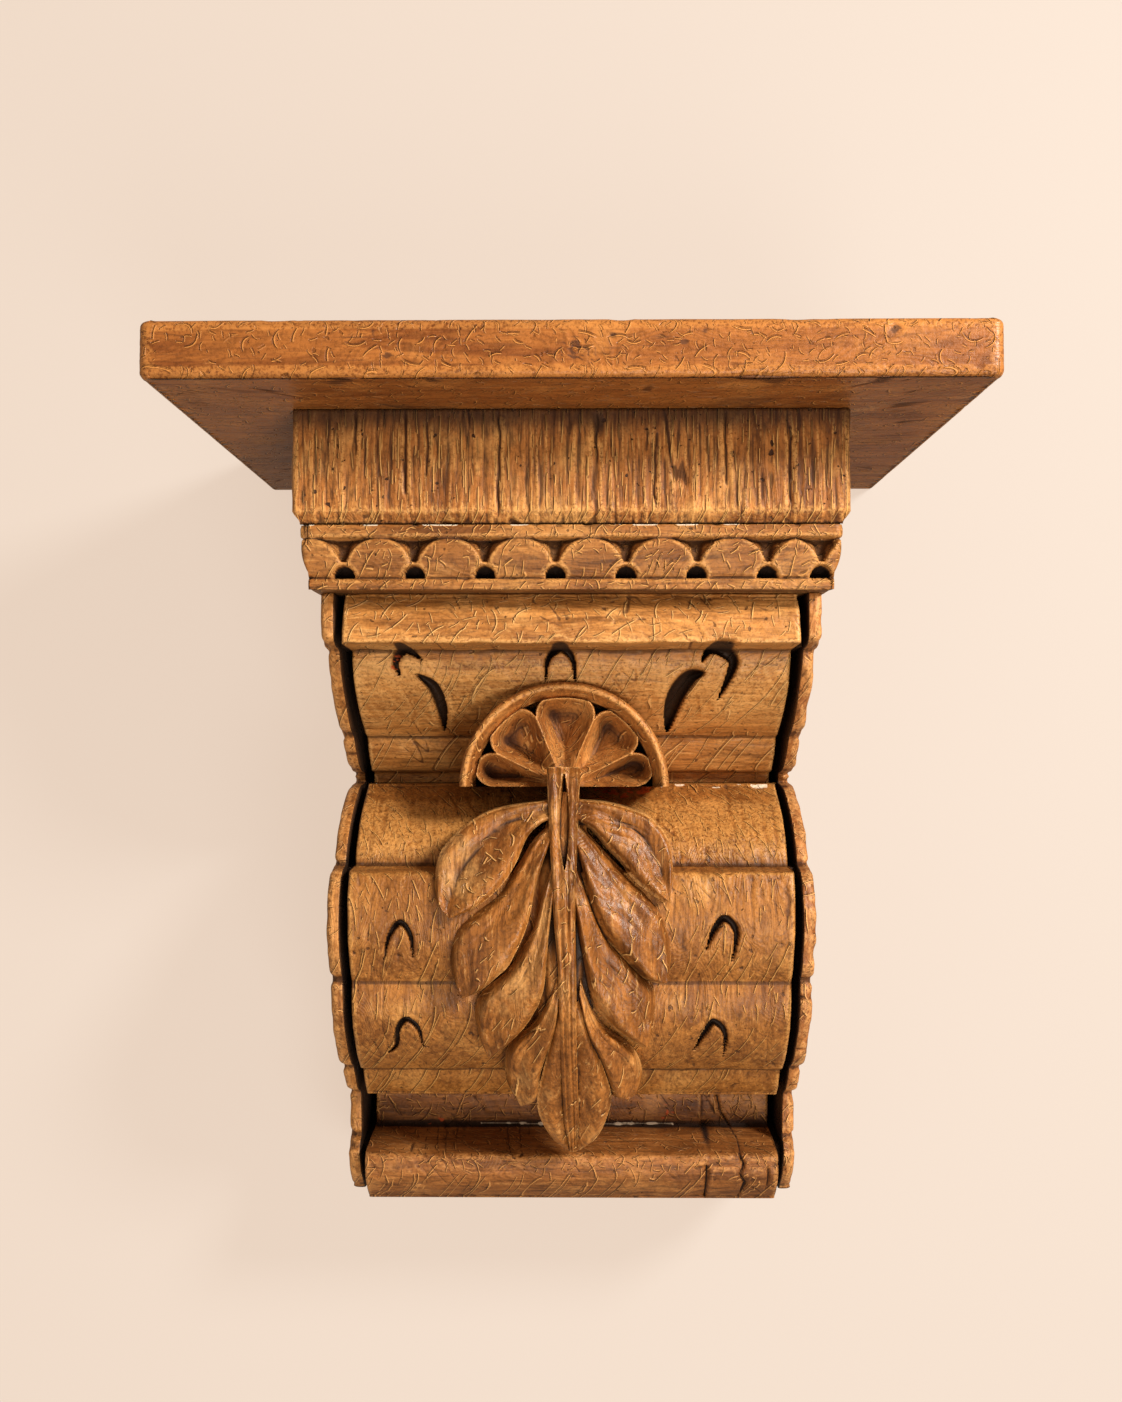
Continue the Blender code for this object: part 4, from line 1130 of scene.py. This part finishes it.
def build_cheek(name, node, side, raggedness, seed):
    low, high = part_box(node)
    upper, belly, foot = (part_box(block)[1].z for block in ("upper_scroll", "belly", "foot"))
    blocks = ((upper, UPPER_BANDS), (belly, BELLY_BANDS), (foot, FOOT_BANDS))
    sharp = []
    for top, bands in blocks:
        sharp += band_profile(bands, top, cheek=True, below_another=bool(sharp))
    sharp = polyline(sharp, CHEEK_STEP)
    rows = blur(sharp, 3, 0)
    rows[[0, -1]] = sharp[[0, -1]]
    inner, outer = sorted((abs(low.x), abs(high.x)))
    radius = CHEEK_ROUND * (outer - inner)
    inner_radius = CHEEK_INNER_ROUND * (outer - inner)
    arc = np.radians(np.linspace(0, 90, 9))
    section = [(inner, None, 0.0), (inner, 0.03, None), (inner, 0.010, None)]
    section += [(inner + inner_radius * (1 - math.cos(a)), inner_radius * (1 - math.sin(a)), None)
                for a in arc]
    section += [(inner + inner_radius + (outer - inner - inner_radius - radius) * share, 0.0, None)
                for share in np.linspace(0, 1, 7)[1:-1]]
    section += [(outer - radius * (1 - math.cos(a)), radius * (1 - math.sin(a)), None)
                for a in arc[::-1]]
    section += [(outer, inset, None) for inset in np.arange(radius + 0.0006, 0.024, 0.0009)]
    section += [(outer, None, share) for share in np.linspace(1, 0, 40)]
    grid = np.zeros((len(rows), len(section), 3))
    for place, (x, inset, share) in enumerate(section):
        grid[:, place, 0] = x
        if inset is not None:
            grid[:, place, 1] = rows[:, 1] - inset
        elif place == 0:
            grid[:, place, 1] = 0.0
        else:
            grid[:, place, 1] = (rows[:, 1] - CHEEK_BAND) * share
        grid[:, place, 2] = rows[:, 0]
    grid[:, :, 1] = np.maximum(grid[:, :, 1], 0.0)
    lump = smooth_noise(grid, (0.010, 0.05, 0.011), seed, 2)
    nick = ease(smooth_noise(grid, (0.02, 0.05, 0.0060), seed + 3, 2), 0.45, 0.95)
    swell = smooth_noise(grid, (1, 0.030, 0.040), seed + 5, 2)
    fibre = smooth_noise(grid, (1, 0.0026, 0.030), seed + 7, 3)
    inset = rows[:, 1:] - grid[:, :, 1]
    near = 1 - ease(inset, 0.001, 0.010)
    held = ease(high.z - grid[:, :, 2], 0.0002, 0.004) * ease(grid[:, :, 2] - low.z, 0.0002, 0.004)
    bite = raggedness * (0.0007 * (lump + 0.4) + 0.0014 * nick)
    meetings = np.max([
        peak(rows[:, :1], top - depth, 0.0024)
        for top, bands in blocks for depth in np.cumsum([band.height for band in bands])
    ], axis=0)
    bite = bite + CHEEK_NOTCH * meetings
    grid[:, :, 1] -= np.maximum(bite, -0.0003) * near * held * (grid[:, :, 1] > 0.001)
    on_face = (grid[:, :, 0] > outer - 0.0001) * ease(grid[:, :, 1], 0.002, 0.012)
    half_line = CHEEK_LINE_WIDTH / 2
    groove = np.clip(1 - np.abs(inset - CHEEK_LINE - half_line) / half_line, 0, 1)
    sink = CHEEK_LINE_DEPTH * groove + 0.00035 * (1 + swell) + 0.00016 * fibre
    grid[:, :, 0] -= sink * on_face * held
    tuck = (0.0020 * meetings + 0.0005 * raggedness * (lump + 0.3)) * near * held
    grid[:, :, 0] -= np.maximum(tuck, 0.0) * ease(grid[:, :, 0], inner + 0.002, outer)
    grid[:, :, 0] *= side
    grid[:, :, 1] *= -1
    normal = np.zeros_like(grid)
    normal[:, :, 0] = side * (on_face > 0)
    normal[:, :, 1] = -1.0 * (on_face <= 0)
    hollow = scaled(hollow_of(grid, normal, 2), 0.00035)
    # Painted shade: the inner face, the notches where the bands meet, the gouged line and the side
    # away from the front edge are darkened.
    deep = 0.9 * (np.abs(grid[:, :, 0]) < inner + 0.0006) + 0.45 * meetings * near
    deep += 0.5 * groove * on_face + 0.25 * ease(-near, -0.5, 0.0)
    return wrapped(name, grid, hollow=hollow, deep=deep)


finished(
    build_cheek("left_cheek", "cheek_left", -1, 0.9, 160),
    old_wood(
        "left_cheek_wood", "Z", (50, 23, 6), (146, 90, 40), (196, 130, 66), (240, 176, 106),
        marks=0.8, size=0.7,
    ),
    "cheek_wood", "cheek_left",
)
finished(
    build_cheek("right_cheek", "cheek_right", 1, 1.7, 180),
    old_wood(
        "right_cheek_wood", "Z", (54, 24, 8), (140, 82, 40), (186, 120, 62), (240, 178, 110),
        gloss=0.48, marks=0.9, size=0.7,
    ),
    "cheek_wood", "cheek_right",
)


# The leaf is a separate carving, pinned to the belly. Eight thick leaflets run off a bundle of
# stalks, each hollowed with a gouge and tucked under the one above, and the last lobe hangs free
# in front of the foot. Its edges are given in millimetres right of the middle and down.
LEAF_LENGTH = 0.1965
LEAF_DROOP = 0.0060
LEAF_PATH = (
    (0.00, 0.1600, 0.0120), (0.06, 0.1620, 0.0560), (0.20, 0.1680, 0.0560),
    (0.38, 0.1762, 0.0300), (0.55, 0.1710, 0.0300), (0.72, 0.1560, 0.0300),
    (0.86, 0.1390, 0.0160), (1.00, 0.1220, 0.0070),
)
LEAF_WIDEST = 0.062
LEAFLET_ROWS = 104
LEAFLET_COLUMNS = 44
UNDERCUT = -0.0012
FLARE = 0.0024
Leaflet = namedtuple("Leaflet", "tucked flare upper lower")
LEAFLETS = (
    Leaflet(False, UNDERCUT,
            ((-10, 16), (-28, 18.5), (-42.5, 22.5), (-55, 31), (-63.5, 41.5), (-65.5, 53.5),
             (-64, 65), (-59, 71)),
            ((-10, 25), (-15, 27.5), (-21, 33.5), (-26.5, 46), (-33.5, 56.5), (-45, 66.5),
             (-58, 72))),
    Leaflet(True, UNDERCUT,
            ((-9, 26.5), (-18, 35), (-26, 47.5), (-35, 60), (-49, 70), (-57, 78.5),
             (-59, 91), (-57.5, 100), (-53.5, 110)),
            ((-9, 33), (-13.5, 45.5), (-17, 57.5), (-21, 75.5), (-29, 93), (-35, 99.5),
             (-43.5, 107), (-52.5, 111))),
    Leaflet(True, UNDERCUT,
            ((-8, 42), (-12.5, 57), (-16.8, 73.5), (-22, 84.5), (-31, 98.5), (-42.5, 108.5),
             (-47, 118), (-45.5, 131.5), (-41, 141.5)),
            ((-7, 53.5), (-9.5, 69.5), (-11.5, 90), (-13.5, 107.5), (-20.5, 122.5), (-31, 135),
             (-40, 142))),
    Leaflet(True, UNDERCUT,
            ((-6.5, 97.5), (-10.5, 110.5), (-18.5, 125), (-29, 134.5), (-33, 145), (-32, 158.5),
             (-25.8, 169)),
            ((-5.5, 107.5), (-7.5, 124.5), (-12, 140), (-15, 150.5), (-16.5, 161.5),
             (-19.5, 167.5), (-24.6, 169.5))),
    Leaflet(False, FLARE,
            ((3, 16), (16.5, 17), (28.5, 20), (37.5, 23.5), (45, 31), (48.5, 41), (48.5, 53),
             (47.2, 63)),
            ((3, 25.5), (10.5, 29), (18.5, 38), (25, 44.5), (32, 53), (39.5, 59), (46.2, 63.5))),
    Leaflet(True, FLARE,
            ((4, 27.5), (12, 36.5), (20.5, 45.5), (29, 53.5), (38, 61), (44.5, 69.5),
             (47.8, 81.5), (48, 94), (46.2, 102.3)),
            ((2, 36), (7, 51.5), (11, 65.5), (16.5, 77.5), (23.5, 86), (33, 96.5), (38.5, 101),
             (45.2, 103))),
    Leaflet(True, FLARE,
            ((2.5, 45.5), (8.5, 61.5), (14.5, 75.5), (22, 86), (31.5, 95.5), (38.3, 103), (41, 111),
             (40.5, 123.5), (37.6, 135)),
            ((0.5, 57.5), (4, 75.5), (7, 92), (11, 110.5), (17.5, 120.5), (25.5, 128.5),
             (36.6, 135.8))),
    Leaflet(True, FLARE,
            ((4.5, 99.5), (9.5, 115), (16.5, 127), (25.5, 134), (32, 141.5), (35.5, 151.5),
             (34, 161.5), (29.2, 165)),
            ((4, 109.5), (8.5, 128), (13.5, 140), (17.5, 150.5), (20.5, 160.5), (23.5, 164.5),
             (28, 165.5))),
)
LAST_LOBE = Leaflet(
    True, 0.0,
    ((-5.5, 115), (-9.5, 131.5), (-14, 149.5), (-17, 166), (-15, 178.5), (-9.5, 189), (-3.5, 195),
     (0.2, 196.4)),
    ((3.5, 111.5), (9.5, 130), (16.5, 149.5), (20, 164), (18, 176), (13.5, 187.5), (6.5, 194.5),
     (2.0, 196.4)),
)
STEM = (
    (0, -3.7, 8.2), (24, -3.7, 7.2), (50, -3.4, 6.0), (75, -3.0, 5.0), (92, -1.8, 4.3),
    (133, -1.4, 4.2), (181, 0.2, 3.8), (195.5, 1.0, 1.4),
)


def seat(level):
    """How far the block behind the leaf stands out at a height, with the joint's gap."""
    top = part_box("belly")[1].z
    rows = np.array(band_profile(BELLY_BANDS, top))[::-1]
    behind = np.interp(level, rows[:, 0], rows[:, 1]) + 0.0006
    behind = np.where(level < rows[0, 0], 0.0, behind)
    return np.where(level > top - 0.0003, ROSETTE_FACE + 0.0004, behind)


def edge_line(points, count):
    """An edge of the leaf, in metres, as evenly spaced places along a smooth curve."""
    line = curve_through(points) / 1000
    gone = np.concatenate([[0.0], np.cumsum(np.hypot(*np.diff(line, axis=0).T))])
    even = np.linspace(0.0, gone[-1], count)
    return np.column_stack([np.interp(even, gone, line[:, k]) for k in (0, 1)])


def leaf_body(name, upper, lower, drop, flare):
    """A closed slab between two edges: its front sunk by drop, its back on what is behind."""
    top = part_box("pendant_leaf")[1].z
    course = curve_through([(share * LEAF_LENGTH, out) for share, out, _ in LEAF_PATH])
    thickness = np.array([(share * LEAF_LENGTH, thick) for share, _, thick in LEAF_PATH])

    def laid(x, down, sunk, part):
        out = np.interp(down, course[:, 0], course[:, 1])
        thick = np.interp(down, thickness[:, 0], thickness[:, 1])
        front = out - LEAF_DROOP * np.abs(x / LEAF_WIDEST) ** 1.5 - sunk
        back = np.maximum(front + sunk - thick, seat(top - down))
        back = np.minimum(back, front - 0.0008)
        return np.stack([x, -(front + (back - front) * part), top - down], -1)

    place = np.linspace(0, 1, drop.shape[1])[None, :, None]
    front = upper[:, None] * (1 - place) + lower[:, None] * place
    across = lower - upper
    across /= np.maximum(np.linalg.norm(across, axis=1, keepdims=True), 1e-6)
    rings = [laid(front[:, :, 0], front[:, :, 1], drop, 0.0)]
    for part in (0.12, 0.35, 1.0):
        foot = lower + across * flare * min(part * 2.5, 1.0)
        rings.append(laid(foot[:, 0], foot[:, 1], drop[:, -1], part)[:, None])
    for part in (1.0, 0.35):
        rings.append(laid(upper[:, 0], upper[:, 1], drop[:, 0], part)[:, None])
    return wrapped(name, np.concatenate(rings, axis=1))


# Sections of the leaflets: the share of the way across, and how far the wood lies in there.
LEAFLET_SECTION = (
    (0.00, 0.0140), (0.05, 0.0105), (0.11, 0.0066), (0.20, 0.0042), (0.40, 0.0040),
    (0.58, 0.0028), (0.74, 0.0010), (0.85, 0.0003), (0.92, 0.0010), (0.97, 0.0028), (1.00, 0.0050),
)
FREE_SECTION = ((0.00, 0.0042), (0.04, 0.0018), (0.09, 0.0006), (0.17, 0.0010))
LOBE_SECTION = (
    (0.00, 0.0048), (0.05, 0.0026), (0.16, 0.0012), (0.27, 0.0018), (0.38, 0.0040),
    (0.50, 0.0042), (0.62, 0.0034), (0.74, 0.0020), (0.86, 0.0012), (0.95, 0.0024), (1.00, 0.0050),
)


def gouged(upper, lower, section, seed, rib=0.30):
    """The drops over a leaflet: its section, scaled to its width, and marks along its run."""
    place = np.linspace(0, 1, LEAFLET_COLUMNS)
    across, drops = np.array(section).T
    profile = blur(np.interp(place, across, drops), 1, 0)
    width = np.hypot(*(lower - upper).T)
    size = np.clip(width / 0.017, 0.16, 1.0)[:, None]
    along = np.linspace(0, 1, len(upper))[:, None]
    drop = profile[None] * size
    drop = drop + 0.0024 * ease(-along, -0.16, 0.0) + 0.0026 * ease(along, 0.88, 1.0)
    length = np.hypot(*np.diff(upper, axis=0).T).sum()
    flat = upright(along * length, width[:, None] * place)
    strokes = smooth_noise(flat, (0.030, 1, 0.0026), seed, 2)
    facets = smooth_noise(flat, (0.012, 1, 0.0060), seed + 3, 2)
    cut = 1 - ease(np.abs(smooth_noise(flat, (0.035, 1, 0.0050), seed + 5)), 0.0, 0.10)
    cut *= ease(along, 0.10, 0.30) * (1 - ease(along, 0.80, 0.97))
    vein = peak(place, rib + 0.18 * along, 0.045) * np.sin(np.pi * along)
    return drop + 0.00030 * strokes + 0.00034 * facets + 0.0003 * cut + 0.0003 * vein * size


def join_bodies(name, bodies):
    """One closed body from several that run through each other."""
    first = bodies[0]
    for body in bodies[1:]:
        union = first.modifiers.new(body.name, "BOOLEAN")
        union.operation = "UNION"
        union.solver = "MANIFOLD"
        union.object = body
    depsgraph = bpy.context.evaluated_depsgraph_get()
    mesh = bpy.data.meshes.new_from_object(first.evaluated_get(depsgraph))
    for body in bodies:
        bpy.data.objects.remove(body)
    mesh.name = name
    mesh.materials.clear()
    mesh.shade_smooth()
    mesh.set_sharp_from_angle(angle=math.radians(50))
    return linked(name, mesh)


def vertex_values(mesh, label):
    """The places or the normals of a mesh's vertices."""
    values = np.zeros(len(mesh.vertices) * 3)
    mesh.vertices.foreach_get(label, values)
    return values.reshape(-1, 3)


def mesh_hollows(mesh, rounds):
    """How far each vertex lies below its neighbourhood, after so many rounds of smoothing."""
    count = len(mesh.vertices)
    points = vertex_values(mesh, "co")
    edges = np.zeros(len(mesh.edges) * 2, int)
    mesh.edges.foreach_get("vertices", edges)
    start, end = edges.reshape(-1, 2).T
    degree = np.bincount(start, minlength=count) + np.bincount(end, minlength=count)
    around = points.copy()
    for _ in range(rounds):
        total = np.stack([
            np.bincount(start, around[end, k], count) + np.bincount(end, around[start, k], count)
            for k in range(3)
        ], axis=1)
        around = 0.5 * around + 0.5 * total / np.maximum(degree, 1)[:, None]
    return np.sum((around - points) * vertex_values(mesh, "normal"), axis=1)


def build_stem():
    down, middle, half = np.array(STEM).T
    along = np.linspace(0, down[-1], 190)
    centre, reach = (blur(np.interp(along, down, values), 6, 0) for values in (middle, half))
    left = np.column_stack([centre - reach, along]) / 1000
    right = np.column_stack([centre + reach, along]) / 1000
    place = np.linspace(-1, 1, 40)
    ribs = np.interp(
        place, (-1, -0.82, -0.60, -0.42, -0.14, 0.10, 0.34, 0.52, 0.70, 0.86, 1),
        (2.2, 0.6, 0.1, 1.1, 0.2, 0.0, 1.2, 0.3, 0.7, 0.4, 2.4),
    ) / 1000
    along = along[:, None]
    width = 2.6 * np.sin(np.pi * np.clip((along - 3) / 46, 0, 1)) ** 0.8
    x = place[None] * reach[:, None] - 0.3
    slot = np.clip(1 - np.abs(x / np.maximum(width, 0.01)), 0, 1) ** 0.5 * (width > 0.05)
    flat = upright(x / 1000, along / 1000)
    strokes = smooth_noise(flat, (0.0022, 1, 0.030), 311, 2)
    facets = smooth_noise(flat, (0.0045, 1, 0.016), 313, 2)
    drop = ribs * (0.6 + 0.4 * reach[:, None] / 8) + 0.0078 * slot
    drop = drop + 0.00040 * strokes + 0.00055 * facets + 0.0016 * ease(-along, -4, 0)
    return leaf_body("stem", left, right, drop + 0.0003, 0.0)


def build_leaf():
    bodies = [build_stem()]
    down = np.linspace(12, 150, 120)
    half = 15 * np.sin(np.pi * np.clip((down - 6) / 160, 0, 1)) ** 0.5
    ground = (np.column_stack([-2.5 + side * half, down]) / 1000 for side in (-1, 1))
    place = np.linspace(-1, 1, 44)[None]
    stalks = upright(half[:, None] * place / 1000, down[:, None] / 1000)
    grooves = smooth_noise(stalks, (0.0030, 1, 0.060), 331, 2)
    ground_drop = 0.0042 + 0.0075 * np.abs(place) ** 1.5 + 0.0012 * grooves
    bodies.append(leaf_body("ground", *ground, ground_drop, 0.0))
    free = FREE_SECTION + LEAFLET_SECTION[4:]
    for index, leaflet in enumerate((*LEAFLETS, LAST_LOBE)):
        upper, lower = (edge_line(line, LEAFLET_ROWS) for line in (leaflet.upper, leaflet.lower))
        section = LEAFLET_SECTION if leaflet.tucked else free
        rib = 0.30
        if leaflet is LAST_LOBE:
            section, rib = LOBE_SECTION, 0.14
        drop = gouged(upper, lower, section, 200 + 10 * index, rib)
        bodies.append(leaf_body(f"leaflet_{index}", upper, lower, drop, leaflet.flare))
    leaf = join_bodies("leaf", bodies)
    # Painted shade: the leaf is darkened in its wide hollows and on faces that turn down.
    normals = vertex_values(leaf.data, "normal")
    under = ease(-normals[:, 2], 0.25, 0.75) * ease(normals[:, 1], -0.85, -0.45)
    point_values(
        leaf.data, hollow=scaled(mesh_hollows(leaf.data, 4), 0.00034),
        deep=scaled(mesh_hollows(leaf.data, 60), 0.0010) + 0.60 * under,
    )
    return leaf


finished(
    build_leaf(),
    old_wood(
        "leaf_wood", "Z", (42, 18, 4), (114, 65, 24), (168, 105, 46), (244, 186, 114),
        gloss=0.36, marks=0.34, streaks=0.9, size=0.5, lean=0.0, spread=1.2,
    ),
    "leaf_wood", "pendant_leaf",
)


# Round it is a plain pale wall that the bracket hangs on and, well below, a pale floor that
# meets the wall in a cove. From behind, the wall is clear.
WALL_BACK = 0.0012
WALL_HALF = 3.0
WALL_TOP = 3.0
FLOOR_LEVEL = -0.75
COVE_RADIUS = 0.30


def build_wall():
    turn = np.radians(np.linspace(0, 90, 13))
    profile = [(WALL_BACK, WALL_TOP), (WALL_BACK, FLOOR_LEVEL + COVE_RADIUS)]
    profile += [(WALL_BACK - COVE_RADIUS * (1 - math.cos(a)),
                 FLOOR_LEVEL + COVE_RADIUS * (1 - math.sin(a))) for a in turn[1:]]
    profile.append((-4.0, FLOOR_LEVEL))
    points = [(x, y, z) for y, z in profile for x in (-WALL_HALF, WALL_HALF)]
    faces = [(2 * k, 2 * k + 2, 2 * k + 3, 2 * k + 1) for k in range(len(profile) - 1)]
    return wooden_mesh("wall", np.array(points), faces)


wall = build_wall()
paint = Finish("wall_paint")
shine = paint.surface
paint.plug(shine, {
    "Base Color": (0.118, 0.124, 0.130, 1.0), "Roughness": 0.9, "Specular IOR Level": 0.1,
    "Emission Color": (0.722, 0.566, 0.452, 1.0), "Emission Strength": 1.0,
})
behind = paint.node("ShaderNodeNewGeometry", output="Backfacing")
clear = paint.node("ShaderNodeBsdfTransparent")
output = paint.tree.nodes["Material Output"]
shown = paint.node(
    "ShaderNodeMixShader", None,
    {0: behind, 1: Wire(paint, shine.outputs["BSDF"]), 2: clear},
)
paint.tree.links.new(shown.socket, output.inputs["Surface"])
wall.data.materials.append(paint.material)
wall.visible_diffuse = False
wall.visible_glossy = False
wall.visible_shadow = False


# Light: a lamp at the upper right and front that throws the shadows, a broad weak fill from the
# left, a low one that reaches under the shelf, and an even pale sky. The camera sees no lamp.
AIM = Vector((0.0, -0.10, 0.0))
LAMPS = (
    ("key", (0.95, -1.06, 0.68), 0.34, 30.5, (1.0, 0.93, 0.83)),
    ("fill", (-1.3, -1.5, -0.2), 1.4, 4.0, (1.0, 0.92, 0.82)),
    ("low", (0.40, -1.25, -0.60), 0.6, 11.5, (1.0, 0.93, 0.83)),
)
for name, place, width, power, colour in LAMPS:
    light = bpy.data.lights.new(name, "AREA")
    light.shape = "DISK"
    light.size = width
    light.energy = power
    light.color = colour
    lamp = linked(name, light)
    lamp.location = place
    lamp.visible_camera = False
    lamp.rotation_euler = (AIM - Vector(place)).to_track_quat("-Z", "Y").to_euler()

world = bpy.data.worlds.new("sky")
world.use_nodes = True
sky = world.node_tree.nodes["Background"]
sky.inputs["Color"].default_value = (1.0, 0.86, 0.68, 1.0)
sky.inputs["Strength"].default_value = 0.34
bpy.context.scene.world = world
bpy.context.scene.view_settings.view_transform = "Standard"
